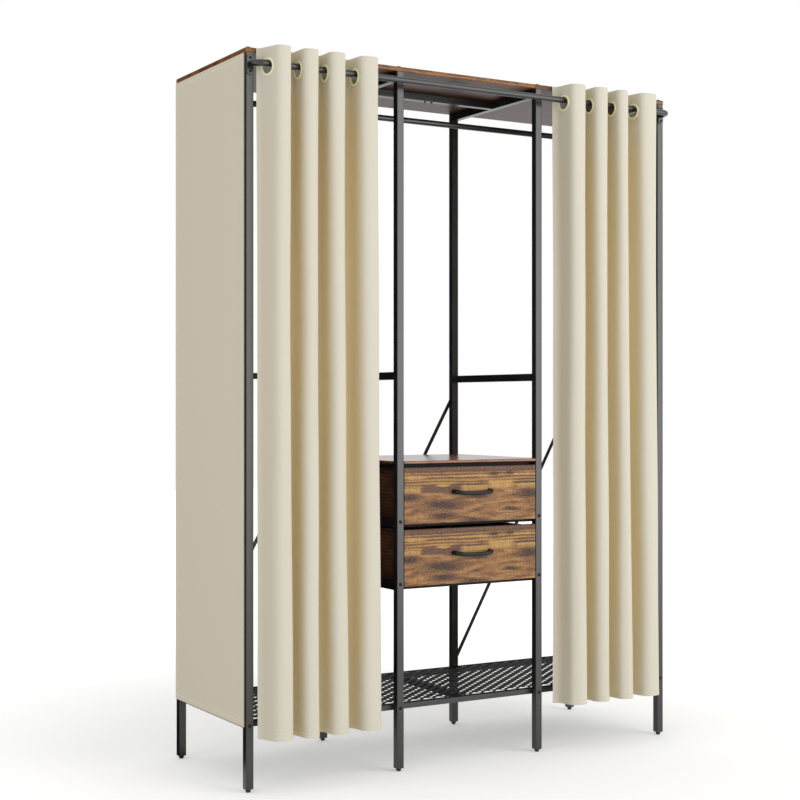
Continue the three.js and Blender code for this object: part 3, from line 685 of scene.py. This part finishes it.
for drawer in ("drawer_lower", "drawer_upper"):
    low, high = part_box(f"{drawer}_handle")
    centre = centre_of(f"{drawer}_handle")
    bar = (high.z - low.z) / 2
    half_span, reach = (high.x - low.x) / 2 - bar, high.y - low.y - bar
    path, radii = [], []
    for step in range(HANDLE_STEPS + 1):
        turn = pi * step / HANDLE_STEPS
        side = -copysign(abs(cos(turn)) ** BOW_POWER, cos(turn))
        path.append(Vector((half_span * side, -reach * sin(turn) ** BOW_POWER,
                            BOW_END_RISE - BOW_DROOP * sin(turn) ** 2)))
        swell = BOW_MIDDLE_SWELL + (BOW_FOOT_SWELL - BOW_MIDDLE_SWELL) * cos(turn) ** 2
        radii.append(bar * swell)
    bow = moved(swept(path, radii, HANDLE_SIDES), (centre.x, high.y, centre.z))
    add_piece(f"{drawer}_bow_handle", bow, lacquered_zinc, drawer,
              node=f"{drawer}_handle")
    print("made", f"{drawer}_bow_handle", round(2 * half_span, 3), "m between its feet")

# %% [markdown]
# The feet are moulded glides: a tapered cone under each post with a plug that is pushed up the
# tube. They are turned from a section with rounded corners, and only the glide is in sight.

# %% Feet
GLIDE_SECTION_MM = [(0.4, 0), (4.9, 0), (5.5, 0.6), (5.5, 1.8), (7.8, 7.2), (7.8, 7.7), (0.4, 7.7)]
GLIDE_SIDES = 32

glide = turned([(r * MM, h * MM) for r, h in GLIDE_SECTION_MM], GLIDE_SIDES, False)
feet = [name for name in nodes if name.startswith("foot_")]
for node in feet:
    centre = centre_of(node)
    foot = moved(glide, (centre.x, centre.y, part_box(node)[0].z))
    add_piece(f"{node}_glide", foot, black_polypropylene, "frame", node=node,
              sharp=40)
print("made", len(feet), "feet")

# %% [markdown]
# The floor shelf is expanded steel mesh: a sheet that is slit and pulled open, so that it is all
# diamonds with no joints. The diamonds are 38 mm by 31 mm, and the strands are twisted by the
# stretching: those that run one way turn their flat up, and those that cross them turn their edge
# up and look narrow. One flat diamond frame is repeated, its shared corners are merged, and a
# solidify step gives the sheet its thickness. A flat rim closes it.

# %% Expanded mesh shelf
DIAMOND_LONG = 38 * MM
DIAMOND_SHORT = 31 * MM
STRAND_FLAT = 15.0 * MM
STRAND_EDGE = 4.6 * MM
RIM = 6 * MM
mesh_low, mesh_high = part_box("shelf_mesh")
SHEET_THICK = mesh_high.z - mesh_low.z - 0.2 * MM
SHEET_TOP = mesh_high.z - 0.1 * MM
print("mesh sheet", round(SHEET_THICK / MM, 2), "mm thick")


def diamond_sheet():
    """A flat sheet of merged diamond frames inside the shelf's outline."""
    half_x, half_y = DIAMOND_LONG / 2, DIAMOND_SHORT / 2
    slope = hypot(1 / half_x, 1 / half_y)
    hole = (1 - STRAND_EDGE / 2 * slope, 1 - STRAND_FLAT / 2 * slope)
    middle = (mesh_low + mesh_high) / 2
    columns = int((mesh_high.x - mesh_low.x) / DIAMOND_LONG) - 1
    rows = int((mesh_high.y - mesh_low.y) / DIAMOND_SHORT) - 1
    work = bmesh.new()
    for column in range(-columns, columns + 1):
        for row in range(-rows, rows + 1):
            if (column + row) % 2:
                continue
            x, y = middle.x + column * half_x, middle.y + row * half_y
            rings = []
            for one, other in ((1, 1), hole):
                turns = ((one, other), (one, -other), (-one, -other), (-one, other))
                rings.append([work.verts.new((x + half_x * (a + b) / 2, y + half_y * (a - b) / 2,
                                              SHEET_TOP)) for a, b in turns])
            for i in range(4):
                j = (i + 1) % 4
                work.faces.new((rings[0][i], rings[0][j], rings[1][j], rings[1][i]))
    bmesh.ops.remove_doubles(work, verts=work.verts, dist=0.01 * MM)
    work.verts.ensure_lookup_table()
    shape = [v.co.copy() for v in work.verts], [[v.index for v in f.verts] for f in work.faces]
    work.free()
    return shape


def flat_bar(xs, ys):
    """A straight bar with square edges, as high as the mesh's box."""
    points = [Vector((x, y, z)) for x in xs for y in ys for z in (mesh_low.z, mesh_high.z)]
    faces = [(0, 1, 3, 2), (4, 6, 7, 5), (0, 4, 5, 1), (2, 3, 7, 6), (0, 2, 6, 4), (1, 5, 7, 3)]
    return points, faces


shelf_mesh = add_piece("shelf_expanded_mesh", diamond_sheet(), mesh_steel, "frame",
                       node="shelf_mesh", smooth=False)
solid = shelf_mesh.modifiers.new("thickness", "SOLIDIFY")
solid.thickness = SHEET_THICK
solid.offset = -1 if shelf_mesh.data.polygons[0].normal.z > 0 else 1
rim_bars = [flat_bar((mesh_low.x, mesh_high.x), (y, y + RIM))
            for y in (mesh_low.y, mesh_high.y - RIM)]
rim_bars += [flat_bar((x, x + RIM), (mesh_low.y + RIM, mesh_high.y - RIM))
             for x in (mesh_low.x, mesh_high.x - RIM)]
add_piece("shelf_mesh_rim", joined(rim_bars), mesh_steel, "frame", smooth=False)
print("mesh has", len(shelf_mesh.data.polygons) // 4, "diamonds")

# %% [markdown]
# Eyelets are two moulded rings that snap together through a hole in the cloth. Seen edge on they
# are two rounded flanges with a slot for the cloth between them. One section is turned into a
# ring, and the ring is copied to each flank of the folds, where it hangs on the rod.

# %% Eyelet shape
EYELET_LIP = 0.8 * MM
EYELET_BORE = 17 * MM - EYELET_LIP
EYELET_OUT = 22 * MM
EYELET_HALF = 2.6 * MM
EYELET_SLOT = 0.8 * MM
EYELET_NECK = 18.5 * MM
EYELET_SIDES = 64
CLOTH_HOLE = 18.8 * MM
FLANGE_STEPS = 8
FLANGE_POWER = 0.7
EYELET_Z = centre_of("curtain_left_eyelet_7").z + EYELET_LIP


def eyelet_section():
    """Half-round flanges on both sides of a slot, in (radius, height along the axis)."""
    middle, half_wide = (EYELET_BORE + EYELET_OUT) / 2, (EYELET_OUT - EYELET_BORE) / 2
    section = []
    for side in (1, -1):
        for step in range(FLANGE_STEPS + 1):
            angle = pi * step / FLANGE_STEPS
            bulge = EYELET_SLOT + (EYELET_HALF - EYELET_SLOT) * sin(angle) ** FLANGE_POWER
            section.append((middle + side * half_wide * cos(angle), side * bulge))
    section += [(EYELET_OUT, -EYELET_SLOT), (EYELET_NECK, -EYELET_SLOT),
                (EYELET_NECK, EYELET_SLOT), (EYELET_OUT, EYELET_SLOT)]
    return section


def hung(shape, x, lean):
    """A shape hung on the rod in an eyelet's place, turned with its flank's lean."""
    return moved(shape, (x, ROD_Y, EYELET_Z), Matrix.Rotation(atan(lean), 4, "Z") @ AXIS_RIGHT)


eyelet = turned(eyelet_section(), EYELET_SIDES, True)
print("eyelet", round(2 * EYELET_BORE / MM, 1), "to", round(2 * EYELET_OUT / MM, 1), "mm wide")

# %% [markdown]
# The curtains carry the picture. Each is one sheet that hangs from eight eyelets, four waves wide.
# Near the rod the cloth is held steeply, front to back, at every eyelet, with a broad round crest
# to the front and a narrow valley behind. Lower down the folds relax, grow rounder and spread a
# little. Cloth simulation could do this, but the folds' places are known from the eyelets, so each
# level is a drawn fold line and the levels are joined into one sheet.

# %% Fold line of a curtain at one level
CREST_STEPS = 18
FLANK_STEPS = 8
VALLEY_STEPS = 10
CREST_POWER = 2.15


def arc_points(start, end, rise, power, steps, first=0.0, last=1.0):
    """A super-elliptic arc between two points of one level. A higher power gives a squarer arc."""
    points = []
    for step in range(1, steps + 1):
        angle = pi * (first + (last - first) * step / steps)
        side = 0.5 - 0.5 * copysign(abs(cos(angle)) ** (2 / power), cos(angle))
        lift = abs(sin(angle)) ** (2 / power)
        points.append((start[0] + (end[0] - start[0]) * side,
                       start[1] + (end[1] - start[1]) * side + rise * lift))
    return points


def flank_points(start, end):
    """A straight run of cloth between two points of one level."""
    shares = [step / FLANK_STEPS for step in range(1, FLANK_STEPS + 1)]
    return [(start[0] + (end[0] - start[0]) * share, start[1] + (end[1] - start[1]) * share)
            for share in shares]


def fold_line(edges, flanks, leans, front, depths, crest_rise, valley_rise, edge_rise):
    """One level of the sheet, from its left edge to its right edge, as (x, y) points."""
    backs = [(x - lean * deep / 2, front + deep) for x, lean, deep in zip(flanks, leans, depths)]
    fronts = [(x + lean * deep / 2, front) for x, lean, deep in zip(flanks, leans, depths)]
    line = [(edges[0], backs[0][1] + edge_rise[0])]
    line += arc_points((2 * edges[0] - backs[0][0], backs[0][1]), backs[0], edge_rise[0], 2,
                       VALLEY_STEPS // 2, first=0.5)
    for left in range(0, len(flanks), 2):
        right = left + 1
        line += flank_points(backs[left], fronts[left])
        line += arc_points(fronts[left], fronts[right], -crest_rise, CREST_POWER, CREST_STEPS)
        line += flank_points(fronts[right], backs[right])
        if right < len(flanks) - 1:
            line += arc_points(backs[right], backs[right + 1], valley_rise, 2, VALLEY_STEPS)
    line += arc_points(backs[-1], (2 * edges[1] - backs[-1][0], backs[-1][1]), edge_rise[1], 2,
                       VALLEY_STEPS // 2, last=0.5)
    return np.array(line)


def relaxed(line, passes):
    """The fold line with its corners eased, its two ends kept."""
    for _ in range(passes):
        line[1:-1] = 0.5 * line[1:-1] + 0.25 * (line[:-2] + line[2:])
    return line


# %% [markdown]
# A curtain's sheet has a row of points for each level: close at the eyelets and at the hem, wider
# between. drop is a level's share of the way down, and loose says how far the folds have relaxed.
# A seeded noise bends the folds softly on the way down, as real cloth never hangs quite straight.

# %% Levels of a curtain
CURTAIN_HEIGHT = curtain_high.z - curtain_low.z
HEADING_MM = np.arange(0, 110, 7)
HEM_MM = np.array([24, 17, 15, 13, 8, 3, 0])
BODY_FROM = 0.125
BODY_TO = 0.04
BODY_LEVELS = 56
FREE_AT = 0.35
SPREAD_POWER = 1.2
FOLD_SIZES_MM = [  # where the rings hold the cloth, and where it hangs free
    (22.5, 16.5),  # from the rod's middle to the front of a flank
    (45.0, 30.5),  # from the front to the back of a flank
    (16.0, 20.0),  # rise of a crest
    (5.5, 9.5),    # rise of a valley
]
SWAY = 4.0 * MM
BROAD_BEND = 1.6 * MM
SMALL_BEND = 2.0 * MM
LEAN_LOST = 0.4
LEAN_GAINED = 0.10


def ease(share):
    """A soft step from 0 to 1."""
    share = min(max(share, 0.0), 1.0)
    return share * share * (3 - 2 * share)


def curtain_levels():
    body = np.linspace(curtain_high.z - BODY_FROM, curtain_low.z + BODY_TO, BODY_LEVELS)
    return np.concatenate([curtain_high.z - HEADING_MM * MM, body, curtain_low.z + HEM_MM * MM])


def between(top, hem, drop):
    """A place at one level, from its places at the rod and at the hem in millimetres."""
    return (top + (hem - top) * drop ** SPREAD_POWER) * MM


def flanks_at(facts, z, drop, loose):
    """Where the flanks of one level stand, and how they lean."""
    places, leans = [], []
    for index, (top, hem, lean) in enumerate(facts["flanks"]):
        sway = SWAY * loose * noise.noise(Vector((index * 1.7, z * 1.9, facts["seed"])))
        places.append(between(top, hem, drop) + sway)
        outward = 1 if index % 2 == 0 else -1
        leans.append(lean * (1 - LEAN_LOST * loose) + LEAN_GAINED * outward * loose)
    return places, leans


def bend_columns(line, z, drop, loose, seed):
    """Bend a level to and fro with broad waves and, further down, with small ones."""
    for column in range(len(line)):
        broad = noise.noise(Vector((column * 0.045, z * 2.4, seed + 9)))
        small = noise.noise(Vector((column * 0.19, z * 0.9, seed + 17)))
        line[column, 1] += (BROAD_BEND * broad + SMALL_BEND * drop * small) * loose


# %% [markdown]
# The levels are now joined. Each point also keeps its fold depth, which the finish turns into
# painted shade and golden painted light. The two edges stand in the open light, so the painted tint
# fades out there, and near the top and the hem. A free edge that hangs forward is drawn in below
# the rod, where its fold goes flat.

# %% Curtain sheet
OPEN_EDGE = 45 * MM
EDGE_BEHIND_ROD = 1 * MM
EDGE_FLATTENED = 0.85
DRAWN_FROM = 0.08
DRAWN_OVER = 0.25
EASED_AT_ROD = 3
EASED_BELOW = 4
EASED_OVER = 0.12


def painted_shade_depth(line, drop):
    """How strongly the painted fold shade lies on the points of one level, from 0 on a crest to 1
    in a valley.
    """
    xs, ys = line[:, 0], line[:, 1]
    level_share = (0.4 + 0.6 * ease((drop - 0.03) / 0.12)) * (1 - 0.4 * ease((drop - 0.8) / 0.2))
    inner = np.clip(np.minimum(xs - xs[0], xs[-1] - xs) / OPEN_EDGE, 0.0, 1.0)
    return ((ys - ys.min()) / (ys.max() - ys.min())) ** 0.9 * level_share * inner


def curtain_sheet(facts):
    """Points of the sheet, each column's place on the flat cloth, and each point's depth for the
    painted fold shade.
    """
    rows, depths = [], []
    for z in curtain_levels():
        drop = (curtain_high.z - z) / CURTAIN_HEIGHT
        loose = ease(drop / FREE_AT)
        fold_sizes = [(held + (free - held) * loose) * MM for held, free in FOLD_SIZES_MM]
        reach, deep, crest, valley = fold_sizes
        flanks, leans = flanks_at(facts, z, drop, loose)
        edges = [between(top, hem, drop) for top, hem in facts["edges"]]
        flank_depths, ends = [deep] * len(flanks), [valley, valley]
        if facts["drawn_in"]:
            pulled = ease((drop - DRAWN_FROM) / DRAWN_OVER)
            flank_depths[-1] += (reach + EDGE_BEHIND_ROD - deep) * pulled
            ends[-1] *= 1 - EDGE_FLATTENED * pulled
            edges[-1] -= facts["drawn_in"] * MM * pulled
        line = fold_line(edges, flanks, leans, ROD_Y - reach, flank_depths, crest, valley, ends)
        line = relaxed(line, EASED_AT_ROD + int(EASED_BELOW * ease(drop / EASED_OVER)))
        bend_columns(line, z, drop, loose, facts["seed"])
        depths.append(painted_shade_depth(line, drop))
        rows.append(np.column_stack([line, np.full(len(line), z)]))
    grid = np.array(rows)
    along = np.linalg.norm(np.diff(grid[:, :, :2], axis=1), axis=2)
    run = np.concatenate([[0.0], np.cumsum(along, axis=1).mean(axis=0)])
    return grid, run, np.array(depths)


# %% [markdown]
# A grid of points becomes a mesh, and a solidify step makes it a thin shell. The mesh carries two
# extra coordinates for the finish: the place on the flat cloth and the fold depth that the painted
# shade follows. The hems are doubled, so they are thicker. A boolean step cuts the eyelets' holes.

# %% From points to a sheet of cloth
CLOTH_THICK = 1.0 * MM
HOLE_REACH = 6 * MM
HOLE_SIDES = 48


def sheet_mesh(name, grid, run, depths, thickness_share, *finishes):
    """A thin sheet from a grid of points, with its flat coordinates and the fold depth that its
    painted shade follows. The shell's other face takes the second finish, if there is one."""
    rows, columns = grid.shape[:2]
    index = np.arange(rows * columns).reshape(rows, columns)
    quads = np.stack([index[:-1, :-1], index[1:, :-1], index[1:, 1:], index[:-1, 1:]], axis=-1)
    points, faces = grid.reshape(-1, 3).tolist(), quads.reshape(-1, 4).tolist()
    piece = mesh_object(name, points, faces, *finishes)
    mesh = piece.data
    corner = np.empty(len(mesh.loops), int)
    mesh.loops.foreach_get("vertex_index", corner)
    places = {"flat_cloth": (np.broadcast_to(run, (rows, columns)), grid[:, :, 2]),
              "painted_fold_shade": (depths, np.zeros((rows, columns)))}
    for layer_name, (across, up) in places.items():
        place = np.stack([across, up], axis=-1).reshape(-1, 2)
        mesh.uv_layers.new(name=layer_name).data.foreach_set("uv", place[corner].ravel())
    thick = piece.vertex_groups.new(name="thick")
    for row in range(rows):
        for column in range(columns):
            thick.add([int(index[row, column])], thickness_share(row, column), "REPLACE")
    shell = piece.modifiers.new("thickness", "SOLIDIFY")
    shell.thickness = 2 * CLOTH_THICK
    shell.offset = 0
    shell.vertex_group = "thick"
    shell.material_offset = len(finishes) - 1
    return piece


def apply_modifiers(piece):
    """Replace the mesh by its evaluated shape, so that no modifier is left."""
    graph = bpy.context.evaluated_depsgraph_get()
    mesh = bpy.data.meshes.new_from_object(piece.evaluated_get(graph))
    piece.modifiers.clear()
    piece.data = mesh


def cut_eyelet_holes(piece, spots):
    """Cut a round hole through each flank at the eyelets."""
    hole = turned([(CLOTH_HOLE, -HOLE_REACH), (CLOTH_HOLE, HOLE_REACH)], HOLE_SIDES, False)
    cutter = mesh_object("hole_cutter", *joined([hung(hole, x, lean) for x, lean in spots]))
    face_out(cutter)
    cut = piece.modifiers.new("holes", "BOOLEAN")
    cut.object = cutter
    cut.operation = "DIFFERENCE"
    cut.solver = "EXACT"
    apply_modifiers(piece)
    bpy.data.objects.remove(cutter)


# %% [markdown]
# The places of the flanks were read from the photograph, in millimetres from the wardrobe's
# middle, at the rod and at the hem, and the third number is a flank's lean. The inner eyelets keep
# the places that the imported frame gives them, because they ride on the moving end of the curtain.
# The left curtain's free edge hangs forward and drawn in, so that it passes in front of the
# drawers' handles when it is closed. fixed_x and lead_x, in metres, are where the cloth stays with
# the frame and where it goes with the lead.

# %% Make both curtains
CURTAINS = {
    "left": {
        "edges": [(-626, -624), (-300, -291)],
        "flanks": [(-609, -609, 0.34), (-559, -549, -0.02), (-527, -523, 0.02), (-484, -478, -0.04),
                   (-454, -447, 0.0), (-410, -396, -0.02), (-370, -361, 0.06), (-316, -303, -0.08)],
        "fixed_x": -0.618, "lead_x": -0.380, "lead_eyelets": (7, 8), "seed": 3.0, "drawn_in": 8,
    },
    "right": {
        "edges": [(257, 256), (592, 604)],
        "flanks": [(275, 276, 0.12), (329, 338, -0.06), (360, 370, 0.0), (403, 415, -0.02),
                   (436, 449, 0.02), (474, 497, -0.04), (513, 528, 0.16), (576, 590, -0.08)],
        "fixed_x": 0.588, "lead_x": 0.340, "lead_eyelets": (1, 2), "seed": 11.0, "drawn_in": 0,
    },
}
HEM_SHARE = 0.9
SINGLE_SHARE = 0.5


def follow_the_folds(ring):
    """Bake the ring's place into its mesh, where it stays."""
    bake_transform(ring)


def make_curtain(name, facts):
    body = f"{name}_lead"
    grid, run, depths = curtain_sheet(facts)
    in_hem = grid[:, 0, 2] < curtain_low.z + CURTAIN_HEM + 0.1 * MM
    cloth = sheet_mesh(f"{name}_cloth", grid, run, depths,
                       lambda row, column: HEM_SHARE if in_hem[row] else SINGLE_SHARE,
                       curtain_cloth, curtain_back)
    spots = [(top * MM, lean) for top, _, lean in facts["flanks"]]
    cut_eyelet_holes(cloth, spots)
    shade(cloth, sharp=60)
    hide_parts(name)
    for number, (x, lean) in enumerate(spots, start=1):
        lead = number in facts["lead_eyelets"]
        ring = add_piece(f"{name}_ring_{number}", hung(eyelet, x, lean), cream_abs,
                         body if lead else None,
                         node=f"{name}_eyelet_{number}" if lead else None)
        if not lead:
            follow_the_folds(ring)
    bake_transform(cloth)
    print(name, "flat width", round(float(run[-1]), 3), "m,", len(cloth.data.polygons), "faces")


for side, facts in CURTAINS.items():
    make_curtain(f"curtain_{side}", facts)

# %% [markdown]
# The side panels are one flat piece each of the same cloth, stretched over the end frames from the
# top to the shelf. A doubled hem runs round the edge, and the tension draws very shallow ripples.

# %% Side panels
RIPPLE = 0.35 * MM
PANEL_INSET = 30 * MM
PANEL_COLUMNS = 28
PANEL_LEVELS = 80
PANEL_HEM_SHARE = 0.95
PANEL_SHARE = 0.55


def side_panel(name, node):
    low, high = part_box(node)
    x = (low.x + high.x) / 2
    outward = copysign(1, x)
    hem = np.array([0, 1, 1.15]) * PANEL_HEM
    ys = np.linspace(low.y + PANEL_INSET, high.y - PANEL_INSET, PANEL_COLUMNS)
    ys = np.concatenate([low.y + hem, ys, high.y - hem[::-1]])
    zs = np.linspace(high.z - PANEL_INSET, low.z + PANEL_INSET, PANEL_LEVELS)
    zs = np.concatenate([high.z - hem, zs, low.z + hem[::-1]])

    def point(y, z):
        ripple = RIPPLE * noise.noise(Vector((y * 5, z * 2.2, 5 + outward)))
        return x + outward * ripple, y, z

    def thickness_share(row, column):
        edge = row in (0, 1, len(zs) - 2, len(zs) - 1) or column in (0, 1, len(ys) - 2, len(ys) - 1)
        return PANEL_HEM_SHARE if edge else PANEL_SHARE

    grid = np.array([[point(y, z) for y in ys] for z in zs])
    panel = sheet_mesh(name, grid, ys - ys[0], np.zeros(grid.shape[:2]), thickness_share,
                       panel_cloth)
    apply_modifiers(panel)
    shade(panel, sharp=60)
    face_out(panel)
    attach(panel, "frame")
    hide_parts(node)
    print("made", panel.name, round(high.y - low.y, 3), "by", round(high.z - low.z, 3), "m")


for side in ("left", "right"):
    side_panel(f"side_cloth_{side}", f"side_panel_{side}")

# %% [markdown]
# Fasteners tell how the frame goes together. Button-head screws go through the posts into the
# shelf and the drawer tiers, domed bolts come up through the top board over every post, small
# heads hold the rod's plates and the beam, and a bolt goes through each inner post's outer side
# above the cover board. Their heads are turned from a section, and the socket is part of the
# section.

# %% Screws and bolts
POSTS = ("left_end", "left_mid", "right_mid", "right_end")
POST_XS = [centre_of(f"post_{post}_front").x for post in POSTS]
INNER_XS = POST_XS[1:3]
POST_YS = (FRONT + POST / 2, BACK - POST / 2)
SHELF_Z = centre_of("shelf_frame").z - 1 * MM
TIER_ZS = [centre_of(n).z + 6 * MM for n in ("drawer_tier_lower", "drawer_tier_upper")]
COVER_BOLT_Z = centre_of("cover_tier").z + 9 * MM
TOP_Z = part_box("top_board_left")[1].z
BEAM_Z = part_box("centre_beam")[0].z
LEFT_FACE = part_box("post_left_mid_front")[0].x
RIGHT_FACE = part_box("post_right_mid_front")[1].x
PLATE_FRONT = PLATE_BACK - PLATE_THICK
PLATE_SCREWS = (-17 * MM, 17 * MM)
BEAM_XS = (-10 * MM, 11 * MM)
HEAD_SIDES = 24


def button_head(radius, height, socket):
    """A low domed head with a round-cornered socket, standing on z = 0."""
    section = [(radius * 0.98, 0), (radius, 0.25 * height)]
    for angle in (radians(turn) for turn in (15, 30, 45, 60, 75)):
        out, up = socket + (radius - socket) * cos(angle), height * (0.25 + 0.75 * sin(angle))
        section.append((out, up))
    section += [(socket, height), (socket * 0.96, 0.25 * height), (0.05 * socket, 0.2 * height)]
    return turned(section, HEAD_SIDES, False)


tier_places = [(x, z) for x in INNER_XS for z in TIER_ZS]
front_places = [(x, SHELF_Z) for x in POST_XS] + tier_places
rear_places = [(x, SHELF_Z) for x in INNER_XS] + tier_places
HEADS = {  # where they stand, the way they point, and radius, height and socket in millimetres
    "cover_tier_bolts_left": (
        [(LEFT_FACE, y, COVER_BOLT_Z) for y in POST_YS], AXIS_LEFT, (4.0, 1.8, 1.5)),
    "cover_tier_bolts_right": (
        [(RIGHT_FACE, y, COVER_BOLT_Z) for y in POST_YS], AXIS_RIGHT, (4.0, 1.8, 1.5)),
    "post_screws_front": (
        [(x, FRONT, z) for x, z in front_places], AXIS_FRONT, (4.6, 2.2, 1.8)),
    "post_screws_rear": (
        [(x, BACK, z) for x, z in rear_places], AXIS_BACK, (4.6, 2.2, 1.8)),
    "top_board_bolts": (
        [(x, y, TOP_Z) for x in POST_XS for y in POST_YS], AXIS_UP, (6.0, 3.2, 2.0)),
    "rod_plate_screws": (
        [(x, PLATE_FRONT, ROD_Z + up) for x in (POST_XS[0], POST_XS[3]) for up in PLATE_SCREWS],
        AXIS_FRONT, (3.4, 1.8, 1.3)),
    "beam_screws": (
        [(x, centre_of("centre_beam").y, BEAM_Z) for x in BEAM_XS], AXIS_DOWN, (3.6, 2.0, 1.4)),
}
for name, (places, turn, sizes) in HEADS.items():
    head = button_head(*[size * MM for size in sizes])
    heads = joined([moved(head, place, turn) for place in places])
    add_piece(name, heads, oxide_black_steel, "frame", sharp=40)
print("made", sum(len(places) for places, _, _ in HEADS.values()), "heads")

# %% [markdown]
# The floor is plain and pale. It keeps the wardrobe's soft shadow. For the camera and for mirrored
# rays it glows a little, more so far away, so that it meets the white world without a horizon.

# %% Floor and world
FLOOR_HALF = 12.0
GLOW_NEAR = (0.9, 0.30)
GLOW_FAR = (2.4, 0.6)
WORLD_LIGHT = 0.67


def seen_directly(add):
    """1 for the rays of the camera, mirrors and clear pieces, and 0 for the rays that light."""
    path = add("LightPath").node.outputs
    either = add("Math", {0: path["Is Camera Ray"], 1: path["Is Glossy Ray"]}, operation="MAXIMUM")
    return add("Math", {0: either, 1: path["Is Transmission Ray"]}, operation="MAXIMUM")


floor_material, add, shader = start_material("pale_floor", "#F2F2F0", 0.9, gloss=0.0)
away = add("VectorMath", {0: add("TexCoord", out="Object")}, out="Value", operation="LENGTH")
glow = add("MapRange", {"Value": away, "From Min": GLOW_NEAR[0], "From Max": GLOW_FAR[0],
                        "To Min": GLOW_NEAR[1], "To Max": GLOW_FAR[1]})
glow = add("Math", {0: seen_directly(add), 1: glow}, operation="MULTIPLY")
shader.inputs["Emission Color"].default_value = (1, 1, 1, 1)
wire(glow, shader, "Emission Strength")
corners = [(x * FLOOR_HALF, y * FLOOR_HALF, 0) for x, y in ((-1, -1), (1, -1), (1, 1), (-1, 1))]
floor = mesh_object("floor", corners, [(0, 1, 2, 3)], floor_material)
floor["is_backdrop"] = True

world = bpy.data.worlds.new("studio")
world.use_nodes = True
background = world.node_tree.nodes["Background"]
background.inputs["Color"].default_value = (1, 1, 1, 1)
add = partial(add_node, world.node_tree)
shown = add("MapRange", {"Value": seen_directly(add), "To Min": WORLD_LIGHT})
wire(shown, background, "Strength")
scene.world = world
print("made", floor.name, "and", world.name)

# %% [markdown]
# One large soft lamp stands to the front right. It lights the curtains' crests and is what the
# posts' front faces mirror. A second one, to the front left, lifts the side panel. Photographers
# also put a black card where a glossy black side would mirror a white wall. Here it stands behind
# on the left and lies on the floor before that, and only mirrored rays see it, so it shades
# nothing.

# %% Lamps and black card
LAMP_TARGET = Vector((0, MIDDLE, 0.9))
SOFTBOXES = {  # place, width, height and watts
    "front_softbox": (Vector((2.9, MIDDLE - 5.1, 1.9)), 4.2, 4.4, 158),
    "left_softbox": (Vector((-4.2, MIDDLE - 1.6, 1.6)), 1.6, 2.4, 21),
}
for name, (place, width, height, watts) in SOFTBOXES.items():
    light = bpy.data.lights.new(name, "AREA")
    light.shape = "RECTANGLE"
    light.size, light.size_y = width, height
    light.energy = watts
    lamp = bpy.data.objects.new(name, light)
    lamp.location = place
    lamp.rotation_euler = (LAMP_TARGET - place).to_track_quat("-Z", "Y").to_euler()
    scene.collection.objects.link(lamp)
    print("made", name, watts, "W")

CARD_PLACE = Vector((-2.2, 2.8, 0))
CARD_WIDTH = 5.0
CARD_HEIGHT = 4.0
CARD_NEAR = 0.14
CARD_LIFT = Vector((0, 0, 0.002))

card_material, _, _ = start_material("black_card", "#050505", 1.0, gloss=0.0)
across = Vector((CARD_PLACE.y, -CARD_PLACE.x, 0)).normalized() * CARD_WIDTH / 2
near, low = CARD_PLACE * CARD_NEAR + CARD_LIFT, CARD_PLACE + CARD_LIFT
high = CARD_PLACE + Vector((0, 0, CARD_HEIGHT))
corners = [near - across, near + across, low + across, low - across, high + across, high - across]
card = mesh_object("black_card", corners, [(0, 1, 2, 3), (3, 2, 4, 5)], card_material)
for ray in ("camera", "diffuse", "transmission", "shadow"):
    setattr(card, f"visible_{ray}", False)
card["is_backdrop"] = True
scene.view_settings.view_transform = "Standard"

# %% Measure the sizes
dressed_low, dressed_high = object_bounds()
sizes = {"cad_low": list(cad_low), "cad_high": list(cad_high),
         "dressed_low": list(dressed_low), "dressed_high": list(dressed_high)}
print("sizes", sizes)
